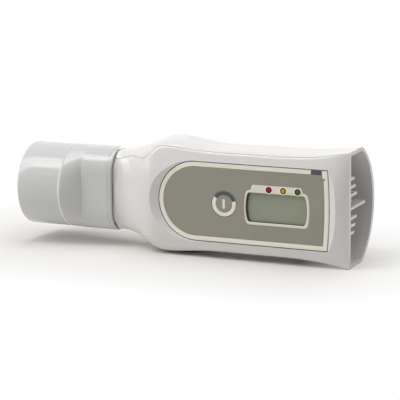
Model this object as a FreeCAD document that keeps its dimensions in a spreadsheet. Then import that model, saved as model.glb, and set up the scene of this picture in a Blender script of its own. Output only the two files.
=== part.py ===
import FreeCAD, Part

import math
import os
import re
import Sketcher
from FreeCAD import Placement, Rotation, Vector

# Electronic peak flow meter, standing on its long narrow side.
# Construction frame: X runs from the mouthpiece to the outlet with zero on the outlet plane,
# Y runs from the label plane to the back, Z is up with zero on the middle plane.
# Every finished piece is then shifted so that the origin is the middle of the footprint.
# A reach is a distance from the outlet plane towards the mouthpiece.

doc = FreeCAD.newDocument("PeakFlowMeter")
sheet = doc.addObject("Spreadsheet::Sheet", "Sizes")

SIZES = (
    # Mouthpiece
    ("tube_radius", 17.25, "outer radius of the round tube"),
    ("bore_radius", 15.25, "bore for a disposable mouthpiece of 30 mm outer diameter"),
    ("bore_stop", 0.55, "distance of the stop in the bore from the rim"),
    ("tube_axis", 13.4, "depth of the tube axis behind the label plane"),
    ("tube_length", 19.55, "length of the round tube, from its open end to the rim"),
    ("slope_length", 7.2, "length of the slope from the rim to the collar"),
    ("collar_length", 13.9, "length of the flat oval collar"),
    ("collar_end_reach", 103.3, "where the collar ends against the neck"),
    ("collar_half_depth", 10.95, "half the depth of the collar"),
    ("collar_corner", 9.5, "corner radius of the collar section"),
    ("collar_wall", 1.6, "wall of the collar"),
    ("tube_edge", 0.8, "rounding of the open end"),
    # Neck and the tenon that the collar slides over
    ("tenon_length", 9.5, "length of the tenon inside the collar"),
    ("tenon_clearance", 0.15, "clearance between tenon and collar"),
    ("tenon_wall", 1.5, "wall of the tenon"),
    ("collar_gap", 0.3, "shadow gap between collar and neck"),
    ("neck_half_width", 16.8, "half width of the neck beside the collar"),
    ("neck_front", 3.9, "depth of the front of the neck"),
    ("neck_back", 22.9, "depth of the back of the neck"),
    # Housing
    ("wall", 1.6, "wall of both shells"),
    ("shoulder_reach", 78.0, "widest place of the shoulder"),
    ("shoulder_run", 23.0, "length over which the neck widens to the shoulder"),
    ("shoulder_half_width", 23.7, "half width at the shoulder"),
    ("shoulder_crease", 21.5, "half width of the front edge at the shoulder"),
    ("waist_run", 20.0, "length over which the shoulder narrows to the grip"),
    ("waist_half_width", 21.3, "half width of the grip"),
    ("waist_crease", 20.4, "half width of the front edge at the grip"),
    ("flare_run", 26.0, "length over which the grip widens to the outlet"),
    ("outlet_half_width", 23.3, "half width of the outlet, and of the side flats"),
    ("outlet_front", 2.2, "depth of the straight front edge of the outlet"),
    ("outlet_back", 32.5, "depth of the back of the outlet"),
    ("side_depth", 17.4, "depth where the flat side meets the round back"),
    ("shoulder_back", 30.0, "depth of the back at the shoulder"),
    ("outlet_lip", 0.6, "how much thicker the wall is at the outlet, in front and at the back"),
    ("crown_rise", 2.4, "how far the front bulges in front of the label plane"),
    ("crown_radius", 60.0, "radius of the bulged front across the width"),
    ("nose_run", 12.0, "length over which the front falls to the outlet edge"),
    ("parting_depth", 13.4, "depth of the joint between the two shells"),
    ("parting_gap", 0.12, "hairline between the two shells"),
    ("groove_width", 0.45, "width of the groove along the front edge of the housing"),
    ("groove_depth", 0.35, "depth of that groove"),
    # Label pocket and what lies in it
    ("label_centre_reach", 64.5, "centre of the round end of the label"),
    ("label_half_width", 16.35, "half width of the label pocket"),
    ("label_end_reach", 7.2, "outlet end of the label pocket"),
    ("label_end_radius", 167.0, "radius of the slightly bowed outlet end"),
    ("label_corner", 0.3, "corner radius at the outlet end"),
    ("label_thickness", 0.5, "thickness of the label, its frame and the bezel"),
    ("label_gap", 0.35, "dark gap around the label frame"),
    ("label_frame_width", 1.85, "width of the light frame"),
    ("label_fit", 0.04, "clearance of the pieces laid in the label"),
    ("ramp_ratio", 1.4, "run of the sloped round end of the pocket for each unit of depth"),
    ("bow_ramp_ratio", 2.2, "run of the sloped outlet end of the pocket for each unit of depth"),
    # Power key
    ("key_reach", 52.0, "centre of the key"),
    ("key_height", -0.25, "height of the key above the middle plane"),
    ("key_radius", 5.3, "radius of the key cap"),
    ("key_clearance", 0.12, "running clearance around the key cap"),
    ("key_travel", 0.4, "how far the key can be pressed"),
    ("key_flange", 1.0, "how far the retaining flange stands out"),
    ("key_flange_thickness", 0.6, "thickness of the retaining flange"),
    ("key_stem_radius", 1.6, "radius of the stem that presses the switch"),
    ("key_play", 0.06, "play of the key between its stops"),
    # Display
    ("display_reach", 29.5, "centre of the display"),
    ("window_half_length", 11.9, "half length of the display opening"),
    ("window_bow", 0.95, "how far the ends of the opening bow out"),
    ("window_corner", 1.2, "corner radius of the display opening"),
    ("window_top", 5.2, "top of the display opening"),
    ("window_bottom", 6.7, "bottom of the display opening, below the middle plane"),
    ("bezel_width", 1.1, "width of the light bezel around the opening"),
    ("bezel_tab_half_length", 10.4, "half length of the bezel tab that carries the zone dots"),
    ("bezel_tab_lean", 0.9, "how much wider the tab is at its foot, on each side"),
    ("bezel_tab_height", 2.2, "height of that tab above the bezel"),
    ("bezel_corner", 2.0, "radius of the corners of the bezel"),
    ("bezel_edge", 0.9, "radius of the corners of the tab"),
    ("lens_thickness", 0.8, "thickness of the clear window"),
    ("glass_thickness", 1.7, "thickness of the liquid crystal glass"),
    ("glass_margin", 1.6, "how far window and glass reach past the opening"),
    ("glass_gap", 0.1, "gap between window and glass"),
    ("strip_height", 1.9, "height of the rubber contact strips"),
    ("strip_thickness", 1.4, "thickness of the rubber contact strips"),
    ("holder_wall", 1.0, "wall of the frame that holds the glass"),
    # Electronics compartment
    ("bay_wall", 1.2, "wall of the compartment ribs"),
    ("bay_start_reach", 82.5, "mouthpiece end of the compartment"),
    ("bay_end_reach", 12.5, "outlet end of the compartment"),
    ("bay_half_width", 15.0, "half width of the compartment"),
    ("board_thickness", 1.0, "thickness of the circuit board"),
    ("board_margin", 0.4, "gap between board and compartment wall"),
    ("parts_room", 1.4, "room for parts behind the board"),
    ("chip_thickness", 1.0, "thickness of the chips"),
    ("controller_reach", 66.0, "centre of the microcontroller"),
    ("controller_half", 4.5, "half length and half width of the microcontroller"),
    ("sensor_half_length", 1.5, "half length of the Hall sensor"),
    ("sensor_half_width", 1.1, "half width of the Hall sensor"),
    ("memory_reach", 38.0, "centre of the memory chip"),
    ("memory_height", 6.0, "height of the memory chip above the middle plane"),
    ("memory_half_length", 2.6, "half length of the memory chip"),
    ("memory_half_width", 2.0, "half width of the memory chip"),
    ("small_part_length", 1.6, "length of the small soldered parts"),
    ("small_part_width", 0.8, "width of the small soldered parts"),
    ("small_part_thickness", 0.7, "thickness of the small soldered parts"),
    ("small_part_step", 3.2, "distance between the small parts along the board"),
    ("small_part_row", 2.4, "distance between their two rows"),
    ("left_group_reach", 76.0, "first small part near the shoulder"),
    ("left_group_height", 9.8, "lower row of that group, below the middle plane"),
    ("right_group_reach", 34.0, "first small part behind the display"),
    ("right_group_height", 1.2, "lower row of that group, above the middle plane"),
    ("switch_half", 3.0, "half length and half width of the key switch"),
    ("switch_button", 0.4, "how far the button of the switch stands out"),
    ("buzzer_margin", 5.5, "gap between the buzzer and the end of the compartment"),
    ("buzzer_radius", 6.0, "radius of the buzzer"),
    ("buzzer_height", 3.0, "height of the buzzer"),
    ("seal_thickness", 0.5, "thickness of the cover seal"),
    ("cover_thickness", 1.2, "thickness of the inner cover"),
    ("cover_nose", 5.0, "length of the ramp that leads the air over the cover"),
    # Fins of the outlet
    ("fin_thickness", 1.1, "thickness of each fin"),
    ("fin_length", 7.5, "length of each fin along the airway"),
    ("fin_upper_first", 6.0, "height of the lowest of the upper fins above the middle plane"),
    ("fin_upper_pitch", 3.25, "distance between the upper fins"),
    ("fin_lower_first", 3.25, "depth of the highest of the lower fins below the middle plane"),
    ("fin_lower_pitch", 2.95, "distance between the lower fins"),
    ("fin_short", 8.3, "depth reached by the outermost fins"),
    ("fin_step", 1.45, "how much deeper each fin nearer the middle reaches"),
    ("fin_long", 21.1, "depth reached by the middle fin"),
    ("fin_long_height", 0.7, "height of the middle fin above the middle plane"),
    # Flow vane
    ("vane_reach", 30.0, "shaft of the vane"),
    ("vane_axis", 12.7, "depth of the shaft"),
    ("shaft_radius", 0.75, "radius of the steel shaft"),
    ("shaft_clearance", 0.04, "running clearance of the shaft in its bushes"),
    ("bush_wall", 0.7, "wall of the bushes"),
    ("ear_wall", 0.7, "plastic around each bush"),
    ("ear_thickness", 1.6, "thickness of each ear"),
    ("ear_height", 14.0, "inner face of each ear from the middle plane"),
    ("vane_thickness", 0.8, "thickness of the vane plate"),
    ("vane_clearance", 1.1, "gap between vane and duct wall"),
    ("vane_hub_radius", 1.7, "radius of the vane hub"),
    ("vane_hub_top", 8.8, "upper end of the hub"),
    ("vane_end_play", 0.3, "gap between hub parts and ears"),
    ("vane_shoulder", 3.0, "distance from the shaft to the wide part of the vane"),
    ("magnet_length", 2.2, "length of the ring magnet"),
    ("spring_wire", 0.35, "diameter of the return spring wire"),
    ("spring_gap", 0.25, "gap between shaft and return spring"),
    ("spring_turns", 6.0, "turns of the return spring"),
    # Battery bay in the back
    ("cell_radius", 10.0, "radius of the coin cell"),
    ("cell_thickness", 3.2, "thickness of the coin cell"),
    ("cell_reach", 56.0, "centre of the coin cell"),
    ("cell_room", 0.6, "room around the coin cell"),
    ("pocket_half_length", 12.0, "half length of the battery bay"),
    ("pocket_floor", 23.6, "depth of the floor of the battery bay"),
    ("pocket_wall", 1.2, "wall of the battery bay"),
    ("door_margin", 1.8, "how far the door reaches past the bay"),
    ("door_gap", 0.25, "gap around the battery door"),
    ("contact_thickness", 0.3, "thickness of the battery contacts"),
    ("contact_width", 1.8, "width of the contact legs"),
    ("contact_fit", 0.03, "clearance around the contact legs"),
    ("post_half_width", 2.0, "half width of the posts that carry the contact legs"),
    ("leg_length_offset", 9.4, "contact legs from the middle of the cell, along the length"),
    ("leg_width_offset", 8.2, "contact legs from the middle of the cell, across"),
    # Fasteners
    ("post_radius", 2.3, "radius of the screw bosses in the front shell"),
    ("well_wall", 1.0, "wall around the screw wells in the rear shell"),
    ("post_clearance", 0.1, "gap between the screw bosses and the compartment"),
    ("shoulder_post_reach", 78.5, "shell screws at the shoulder"),
    ("outlet_post_reach", 15.0, "shell screws near the outlet"),
    ("screw_seat", 18.4, "depth of the seats of the shell screws"),
    ("screw_radius", 1.0, "radius of the shell screw shanks"),
    ("screw_head_radius", 1.9, "radius of the shell screw heads"),
    ("screw_head_height", 1.3, "height of the shell screw heads"),
    ("screw_length", 11.0, "length of the shell screw shanks"),
    ("screw_fit", 0.03, "clearance around the shanks in their pilot holes"),
    ("shank_clearance", 0.06, "clearance around the shanks in what they clamp"),
    ("head_clearance", 0.15, "clearance around the shell screw heads"),
    ("board_screw_radius", 0.8, "radius of the board screw shanks"),
    ("board_screw_head", 1.5, "radius of the board screw heads"),
    ("board_screw_head_height", 0.7, "height of the board screw heads"),
    ("board_pilot_depth", 3.6, "depth of the pilot holes of the board screws"),
    ("board_screw_length", 1.9, "how far the board screws reach past the board"),
    ("board_screw_inset", 2.6, "board screws from the edges of the board"),
    ("board_screw_middle_reach", 46.6, "middle pair of board screws"),
)

for row, (alias, value, note) in enumerate(SIZES, start=1):
    sheet.set(f"A{row}", note)
    sheet.set(f"B{row}", str(value))
    sheet.setAlias(f"B{row}", alias)
doc.recompute()

# Chains of sizes: the slope of the mouthpiece starts at the rim, and the tube in front of it
COLLAR_START = ("collar_end_reach", "collar_length")
RIM = COLLAR_START + ("slope_length",)
MOUTH_END = RIM + ("tube_length",)
MOUTH_REACH = "(collar_end_reach + collar_length + slope_length + tube_length)"

ALIASES = {alias for alias, _, _ in SIZES}
ALONG_X = Rotation(Vector(0, 1, 0), 90)
ALONG_Y = Rotation(Vector(1, 0, 0), -90)
UPRIGHT = Rotation()


def size(alias):
    return float(sheet.get(alias))


def total(aliases):
    return sum(size(alias) for alias in aliases)


def formula(text):
    """Sheet expression for a formula written with plain size names."""
    return re.sub(r"[a-z][a-z_]+", lambda m: "Sizes." + m[0] if m[0] in ALIASES else m[0], str(text))


def bind(thing, **properties):
    for name, text in properties.items():
        thing.setExpression(name.replace("__", "."), formula(text))


spots = {}


def place(thing, x, y, z):
    """Put the origin of a thing at a place given by three formulas."""
    spots[thing.Name] = (x, y, z)
    bind(thing, Placement__Base__x=x, Placement__Base__y=y, Placement__Base__z=z)


def box(name, x, y, z):
    """Box from three pairs of formulas, each the start and the size along its axis."""
    thing = doc.addObject("Part::Box", name)
    bind(thing, Length=x[1], Width=y[1], Height=z[1])
    place(thing, x[0], y[0], z[0])
    return thing


def rod(name, radius, length, at, turn=ALONG_Y):
    thing = doc.addObject("Part::Cylinder", name)
    thing.Placement = Placement(Vector(), turn)
    bind(thing, Radius=radius, Height=length)
    place(thing, *at)
    return thing


def fuse(name, *things):
    thing = doc.addObject("Part::MultiFuse", name)
    thing.Shapes = list(things)
    return thing


def common(name, *things):
    thing = doc.addObject("Part::MultiCommon", name)
    thing.Shapes = list(things)
    return thing


def cut(name, base, *tools):
    thing = doc.addObject("Part::Cut", name)
    thing.Base = base
    thing.Tool = tools[0] if len(tools) == 1 else fuse(name + "Tools", *tools)
    return thing


def solid(name, shape):
    thing = doc.addObject("Part::Feature", name)
    thing.Shape = shape
    return thing


pieces = []

# The origin: middle of the overall length and depth, on the lower side flat
SHIFT = (
    f"{MOUTH_REACH} / 2",
    "-(tube_axis - tube_radius + outlet_back) / 2",
    "outlet_half_width",
)


def finish(thing, label):
    """Give a finished piece its name and move it to the frame of the object."""
    thing.Label = label
    spot = spots.get(thing.Name, (0, 0, 0))
    place(thing, *(f"{own} + {shift}" for own, shift in zip(spot, SHIFT)))
    pieces.append(thing)
    return thing


def ease(value, start, end):
    """Smooth step from 0 at start to 1 at end."""
    share = min(max((value - start) / (end - start), 0.0), 1.0)
    return share * share * (3 - 2 * share)


def mix(low, high, share):
    return low + (high - low) * share


def bezier(*points):
    curve = Part.BezierCurve()
    curve.setPoles(list(points))
    return curve.toShape()


# Outer form of the housing

NECK_CORNER_RUN = 9.2
BODY_CORNER_RUN = 1.3
BODY_CORNER_DROP = 1.6
SIDE_TURN = 6.0
NECK_FLAT = 0.6
NECK_RUN_SHARE = 0.7
OUTLET_CORNER_RUN = 0.4
OUTLET_CORNER_DROP = 0.5
BODY_BACK_ANGLE = 12.0
OUTLET_BACK_ANGLE = 23.8
NECK_SIDE_HANDLE = 0.55
BODY_SIDE_HANDLE = 0.66
NECK_APEX_HANDLE = 0.735
BODY_APEX_HANDLE = 0.43
CREASE_START = 4.0


def profile(reach, neck, shoulder, waist, outlet):
    """Size of the housing at one station, from its sizes at four places."""
    shoulder_reach = size("shoulder_reach")
    neck_share = ease(reach, shoulder_reach, shoulder_reach + size("shoulder_run"))
    waist_share = ease(reach, shoulder_reach, shoulder_reach - size("waist_run"))
    flare = max(1 - reach / size("flare_run"), 0.0) ** 2
    body = mix(mix(shoulder, waist, waist_share), neck, neck_share)
    return mix(body, outlet, flare)


def front_depth(reach, neck, crest, outlet):
    shoulder = size("shoulder_reach")
    neck_share = ease(reach, shoulder + CREASE_START, shoulder + size("shoulder_run"))
    nose = max(1 - reach / size("nose_run"), 0.0) ** 3
    return mix(crest, neck, neck_share) + (outlet - crest) * nose


def outline_edges(reach, skin, inside):
    """Edges of the outline of the housing across its length, moved in by skin."""
    shoulder = size("shoulder_reach")
    neck_share = ease(reach, shoulder, shoulder + NECK_RUN_SHARE * size("shoulder_run"))
    flare = max(1 - reach / size("flare_run"), 0.0) ** 2
    nose = max(1 - reach / size("nose_run"), 0.0) ** 3
    side = profile(reach, size("neck_half_width"), size("shoulder_half_width"),
                   size("waist_half_width"), size("outlet_half_width")) - skin
    crease = profile(reach, size("neck_half_width"), size("shoulder_crease"),
                     size("waist_crease"), size("outlet_half_width")) - skin
    crest = size("label_thickness") if inside else -size("crown_rise")
    front_lip = size("outlet_lip") * nose if inside else 0.0
    front = front_depth(reach, size("neck_front"), crest, size("outlet_front")) + skin + front_lip
    rise = 0.0 if inside else crease ** 2 / (2 * size("crown_radius")) * (1 - nose)
    shoulder_share = min(reach / size("shoulder_reach"), 1.0)
    back_body = mix(size("outlet_back"), size("shoulder_back"), shoulder_share)
    back_lip = size("outlet_lip") * flare if inside else 0.0
    back = mix(back_body, size("neck_back"), neck_share) - skin - back_lip
    junction = mix(size("side_depth"), size("tube_axis"), neck_share)

    run = mix(mix(BODY_CORNER_RUN, OUTLET_CORNER_RUN, flare), NECK_CORNER_RUN, neck_share)
    inner = crease - run
    inner_depth = front + rise * (inner / crease) ** 2
    slope = 2 * rise * inner / crease ** 2
    corner = Vector(-reach, inner_depth + slope * run, crease)
    bend = Vector(-reach, mix(corner.y + SIDE_TURN, junction - NECK_FLAT, neck_share), side)
    body_drop = mix(BODY_CORNER_DROP, OUTLET_CORNER_DROP, flare)
    drop = mix(body_drop, (bend - corner).Length - NECK_FLAT, neck_share)
    lower = corner + (bend - corner).normalize() * drop
    edge = Vector(-reach, inner_depth, inner)
    joint = Vector(-reach, junction, side)
    apex = Vector(-reach, back, 0)
    angle = math.radians(mix(mix(BODY_BACK_ANGLE, OUTLET_BACK_ANGLE, flare), 0.0, neck_share))
    reach_back = (back - junction) * mix(BODY_SIDE_HANDLE, NECK_SIDE_HANDLE, neck_share)
    reach_apex = side * mix(BODY_APEX_HANDLE, NECK_APEX_HANDLE, neck_share)
    joint_handle = joint + Vector(0, math.cos(angle), -math.sin(angle)) * reach_back
    apex_handle = apex + Vector(0, 0, reach_apex)

    def mirror(point):
        return Vector(point.x, point.y, -point.z)

    front_pole = Vector(-reach, 2 * front - inner_depth, 0)
    return [
        bezier(mirror(edge), front_pole, edge),
        bezier(edge, corner, lower),
        bezier(lower, bend, joint),
        bezier(joint, joint_handle, apex_handle, apex),
        bezier(apex, mirror(apex_handle), mirror(joint_handle), mirror(joint)),
        bezier(mirror(joint), mirror(bend), mirror(lower)),
        bezier(mirror(lower), mirror(corner), mirror(edge)),
    ]


def section(reach, skin, inside):
    return Part.Wire(outline_edges(reach, skin, inside))


def stations():
    """Reaches of the loft sections, closer together at the shoulder and the outlet."""
    shoulder = size("shoulder_reach")
    neck_end = size("collar_end_reach") - size("collar_gap")
    run = size("shoulder_run")
    near_neck = [shoulder + run * share for share in (0.87, 0.72, 0.57, 0.42, 0.28, 0.14, 0.0)]
    grip = [shoulder - size("waist_run") * share for share in (0.25, 0.55, 1.0)]
    middle = [mix(grip[-1], size("flare_run"), share) for share in (0.5, 1.0)]
    flare = [size("flare_run") * share for share in (0.62, 0.38, 0.19, 0.0)]
    return [neck_end] + [reach for reach in near_neck if reach < neck_end - 1] + grip + middle + flare


def form(skin, inside=False):
    return Part.makeLoft([section(reach, skin, inside) for reach in stations()], True, False)


GROOVE_SHARE = 0.5
GROOVE_DIP = 0.27
GROOVE_DIP_PLACES = (3.0, 6.5, 9.0, 17.0)


def groove_section(reach):
    """Wedge across the groove, at its place on the rounded front edge of one station."""
    upper_corner = outline_edges(reach, 0.0, False)[1]
    start, full, fade, end = [size("shoulder_reach") + place for place in GROOVE_DIP_PLACES]
    share = GROOVE_SHARE - GROOVE_DIP * ease(reach, start, full) * (1 - ease(reach, fade, end))
    point = upper_corner.valueAt(mix(upper_corner.FirstParameter, upper_corner.LastParameter, share))
    along = upper_corner.tangentAt(mix(upper_corner.FirstParameter, upper_corner.LastParameter, share))
    inward = Vector(0, along.z, -along.y)
    half = along * size("groove_width")
    above = point - inward * size("groove_depth")
    return Part.makePolygon([above + half, above - half, point + inward * size("groove_depth"), above + half])


def groove_form():
    """Grooves along both front edges, from the collar to the outlet."""
    overrun = size("groove_width")
    reaches = stations()
    reaches[0] += overrun
    reaches[-1] -= overrun
    upper = Part.makeLoft([groove_section(reach) for reach in reaches], True, False)
    return Part.makeCompound([upper, upper.mirror(Vector(), Vector(0, 0, 1))])


def flats(name):
    """Slab between the two side flats that the meter can stand on."""
    return box(name, (f"-{MOUTH_REACH}", f"2 * {MOUTH_REACH}"), ("-tube_radius", "4 * tube_radius"),
               ("-outlet_half_width", "2 * outlet_half_width"))


outer_form = common("OuterForm", solid("OuterLoft", form(0.0)), flats("SideFlats"))
inner_form = solid("InnerLoft", form(size("wall"), True))
seat_form = solid("DoorSeatLoft", form(size("wall") + size("door_gap"), True))


def ring(reach, joints, arcs):
    """Closed outline across the length: eight points, joined by arcs through given points or by lines."""
    edges = []
    for number, start in enumerate(joints):
        end = joints[(number + 1) % len(joints)]
        between = arcs[number]
        points = [Vector(-reach, size("tube_axis") + depth, height) for depth, height in (start, end)]
        if between is None:
            edges.append(Part.makeLine(*points))
            continue
        middle = Vector(-reach, size("tube_axis") + between[0], between[1])
        edges.append(Part.Arc(points[0], middle, points[1]).toShape())
    return Part.Wire(edges)


# The four quarters of a section, in turn: signs of depth and height
QUARTERS = ((1, 1), (1, -1), (-1, -1), (-1, 1))


def oval(reach, half_width, half_depth, corner):
    """Rounded rectangle across the length, centred on the tube axis."""
    flat_width = half_width - corner
    flat_depth = half_depth - corner
    diagonal = corner * math.sqrt(0.5)
    joints = []
    arcs = []
    for depth_sign, height_sign in QUARTERS:
        over = (depth_sign * flat_depth, height_sign * half_width)
        beside = (depth_sign * half_depth, height_sign * flat_width)
        joints += [over, beside] if depth_sign == height_sign else [beside, over]
        arcs += [(depth_sign * (flat_depth + diagonal), height_sign * (flat_width + diagonal)), None]
    return ring(reach, joints, arcs)


def circle(reach, radius, half_width, half_depth, corner):
    """Circle in eight arcs that meet at the same places as those of the oval that it turns into."""
    flat_width = half_width - corner
    flat_depth = half_depth - corner
    over_height = math.sqrt(radius ** 2 - flat_depth ** 2)
    beside_depth = math.sqrt(radius ** 2 - flat_width ** 2)
    joints = []
    arcs = []
    for depth_sign, height_sign in QUARTERS:
        over = (depth_sign * flat_depth, height_sign * over_height)
        beside = (depth_sign * beside_depth, height_sign * flat_width)
        joints += [over, beside] if depth_sign == height_sign else [beside, over]
        stretch = radius / math.hypot(over[0] + beside[0], over[1] + beside[1])
        crossing = (depth_sign * radius, 0) if depth_sign == height_sign else (0, height_sign * radius)
        arcs += [((over[0] + beside[0]) * stretch, (over[1] + beside[1]) * stretch), crossing]
    return ring(reach, joints, arcs)


def oval_bar(start, end, half_width, half_depth, corner):
    face = Part.Face(oval(start, half_width, half_depth, corner))
    return face.extrude(Vector(start - end, 0, 0))


def tube_to_oval(start, end, radius, half_width, half_depth, corner):
    """Blend from the round tube to the flat oval."""
    round_end = circle(start, radius, half_width, half_depth, corner)
    return Part.makeLoft([round_end, oval(end, half_width, half_depth, corner)], True, True)


# Mouthpiece: a round tube that turns into a flat oval collar


def make_mouthpiece():
    collar_half_width = size("tube_radius")
    inner_half_width = collar_half_width - size("collar_wall")
    inner_half_depth = size("collar_half_depth") - size("collar_wall")
    inner_corner = size("collar_corner") - size("collar_wall")
    rim = total(RIM)
    collar_start = total(COLLAR_START)
    collar_end = size("collar_end_reach")
    tube = rod("MouthTube", "tube_radius", "tube_length", (f"-{MOUTH_REACH}", "tube_axis", 0), ALONG_X)
    slope = solid("MouthSlope", tube_to_oval(rim, collar_start, size("tube_radius"), collar_half_width,
                                             size("collar_half_depth"), size("collar_corner")))
    collar = solid("MouthCollar", oval_bar(collar_start, collar_end, collar_half_width,
                                           size("collar_half_depth"), size("collar_corner")))
    outside = fuse("MouthOutside", tube, slope, collar)
    bore = rod("MouthBore", "bore_radius", "tube_length - bore_stop",
               (f"-{MOUTH_REACH}", "tube_axis", 0), ALONG_X)
    throat = solid("MouthThroat", tube_to_oval(rim + size("bore_stop"), collar_start, size("bore_radius"),
                                               inner_half_width, inner_half_depth, inner_corner))
    socket = solid("MouthSocket", oval_bar(collar_start, collar_end, inner_half_width, inner_half_depth,
                                           inner_corner))
    hollow = cut("MouthHollow", outside, bore, throat, socket)
    doc.recompute()
    rounded = doc.addObject("Part::Fillet", "MouthRounded")
    rounded.Base = hollow
    ends = [number for number, edge in enumerate(hollow.Shape.Edges, start=1)
            if abs(edge.BoundBox.XMax + total(MOUTH_END)) < 0.01]
    rounded.Edges = [(number, size("tube_edge"), size("tube_edge")) for number in ends]
    finish(rounded, "mouthpiece")


make_mouthpiece()


# Label pocket, label frame and label


def bullet(name, shrink, start, depth):
    """Label outline: a round end, straight sides and a slightly bowed end, moved in by shrink."""
    half = f"(label_half_width - {shrink})"
    end = f"(label_end_reach + {shrink})"
    round_end = rod(name + "Round", half, depth, ("-label_centre_reach", start, 0))
    bar = box(name + "Bar", ("-label_centre_reach", f"label_centre_reach - {end}"), (start, depth),
              (f"-{half}", f"2 * {half}"))
    bow = rod(name + "Bow", "label_end_radius", depth, (f"-{end} - label_end_radius", start, 0))
    sharp = common(name + "Sharp", fuse(name + "Sum", round_end, bar), bow)
    doc.recompute()
    corner = size("label_corner")
    rounded = doc.addObject("Part::Fillet", name)
    rounded.Base = sharp
    rounded.Edges = [(number, corner, corner) for number, edge in enumerate(sharp.Shape.Edges, start=1)
                     if edge.BoundBox.XLength < 0.01 and edge.BoundBox.ZLength < 0.01
                     and edge.BoundBox.XMin > -size("label_centre_reach") / 2]
    return rounded


def ramp_cone(name, radius, ratio, x):
    """Cone that slopes the pocket wall from the label plane up to the bulged front."""
    thing = doc.addObject("Part::Cone", name)
    thing.Placement = Placement(Vector(), ALONG_Y)
    bind(thing, Radius1=f"{radius} + 2 * crown_rise * {ratio}", Radius2=radius, Height="2 * crown_rise")
    place(thing, x, "-2 * crown_rise", 0)
    return thing


def make_pocket():
    """Hollow for the label with its two sloped ends."""
    round_ramp = ramp_cone("PocketRoundRamp", "label_half_width", "ramp_ratio", "-label_centre_reach")
    bar = box("PocketBar", ("-label_centre_reach", "label_centre_reach"),
              ("-2 * crown_rise", "2 * crown_rise"), ("-label_half_width", "2 * label_half_width"))
    bow_ramp = ramp_cone("PocketBowRamp", "label_end_radius", "bow_ramp_ratio",
                         "-label_end_reach - label_end_radius")
    ramps = common("PocketRamps", fuse("PocketSum", round_ramp, bar), bow_ramp)
    floor = bullet("PocketFloor", "0", "-0.001", "label_thickness + 0.001")
    return fuse("Pocket", ramps, floor)


def window_outline(grow, plane):
    """Display opening with bowed ends, moved out by grow."""
    centre = -size("display_reach")
    half = size("window_half_length") + grow
    top = size("window_top") + grow
    bottom = -size("window_bottom") - grow
    middle = (top + bottom) / 2
    bow = half + size("window_bow")
    signs = ((-1, bottom), (1, bottom), (1, top), (-1, top))
    corners = [Vector(centre + sign * half, plane, height) for sign, height in signs]
    right = Vector(centre + bow, plane, middle)
    left = Vector(centre - bow, plane, middle)
    return Part.Wire([
        Part.makeLine(corners[0], corners[1]),
        Part.Arc(corners[1], right, corners[2]).toShape(),
        Part.makeLine(corners[2], corners[3]),
        Part.Arc(corners[3], left, corners[0]).toShape(),
    ])


def round_corners(block, radius_at):
    """Round the edges of a block that run along Y; radius_at gives the radius for a height."""
    for radius in sorted({radius_at(edge.BoundBox.ZMin) for edge in block.Edges}):
        edges = [edge for edge in block.Edges if edge.BoundBox.XLength < 0.01 and edge.BoundBox.ZLength < 0.01
                 and edge.Curve.TypeId == "Part::GeomLine" and radius_at(edge.BoundBox.ZMin) == radius]
        sharp = [edge for edge in edges if not is_smooth(block, edge)]
        if sharp:
            block = block.makeFillet(radius, sharp)
    return block


def is_smooth(block, edge):
    """Whether the two faces beside an edge meet without a corner."""
    point = edge.valueAt((edge.FirstParameter + edge.LastParameter) / 2)
    normals = []
    for face in block.ancestorsOfType(edge, Part.Face):
        normals.append(face.normalAt(*face.Surface.parameter(point)))
    return len(normals) == 2 and normals[0].getAngle(normals[1]) < 0.1


def window_block(grow, start, depth):
    block = Part.Face(window_outline(grow, start)).extrude(Vector(0, depth, 0))
    return round_corners(block, lambda height: size("window_corner") + grow)


def bezel_block(grow, start, depth):
    """Outside of the display bezel, with the tab for the zone dots on its top."""
    width = size("bezel_width") + grow
    body = Part.Face(window_outline(width, start)).extrude(Vector(0, depth, 0))
    body = round_corners(body, lambda height: size("bezel_corner") + grow)
    tab_half = size("bezel_tab_half_length") + grow
    foot_half = tab_half + 2 * size("bezel_tab_lean")
    rise = size("bezel_tab_height")
    top = size("window_top") + width
    centre = -size("display_reach")
    foot = [Vector(centre + x, start, top - rise) for x in (-foot_half, foot_half)]
    ridge = [Vector(centre + x, start, top + rise) for x in (tab_half, -tab_half)]
    outline = Part.makePolygon(foot + ridge + foot[:1])
    tab = Part.Face(outline).extrude(Vector(0, depth, 0))
    tab = round_corners(tab, lambda height: size("bezel_edge") + grow)
    return body.fuse(tab).removeSplitter()


KEY_X = "-key_reach"
WALL_BACK = "(label_thickness + wall)"

frame_outer = bullet("FrameOuter", "label_gap", "0", "label_thickness")
frame_inner = bullet("FrameInner", "(label_gap + label_frame_width)", "0", "label_thickness")
finish(cut("LabelFrame", frame_outer, frame_inner), "label_frame")

overlay_outer = bullet("OverlayOuter", "(label_gap + label_frame_width + label_fit)", "0", "label_thickness")
key_window = rod("OverlayKeyHole", "key_radius + key_clearance", "label_thickness", (KEY_X, 0, "key_height"))
bezel_hole = solid("OverlayBezelHole", bezel_block(size("label_fit"), 0, size("label_thickness")))
finish(cut("LabelOverlay", overlay_outer, key_window, bezel_hole), "label_overlay")

bezel_outer = solid("BezelOuter", bezel_block(0, 0, size("label_thickness")))
bezel_inner = solid("BezelInner", window_block(0, 0, size("label_thickness")))
finish(cut("DisplayBezel", bezel_outer, bezel_inner), "display_bezel")


# Front shell: half of the housing wall, label pocket, compartment ribs, bosses and outlet fins

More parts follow.
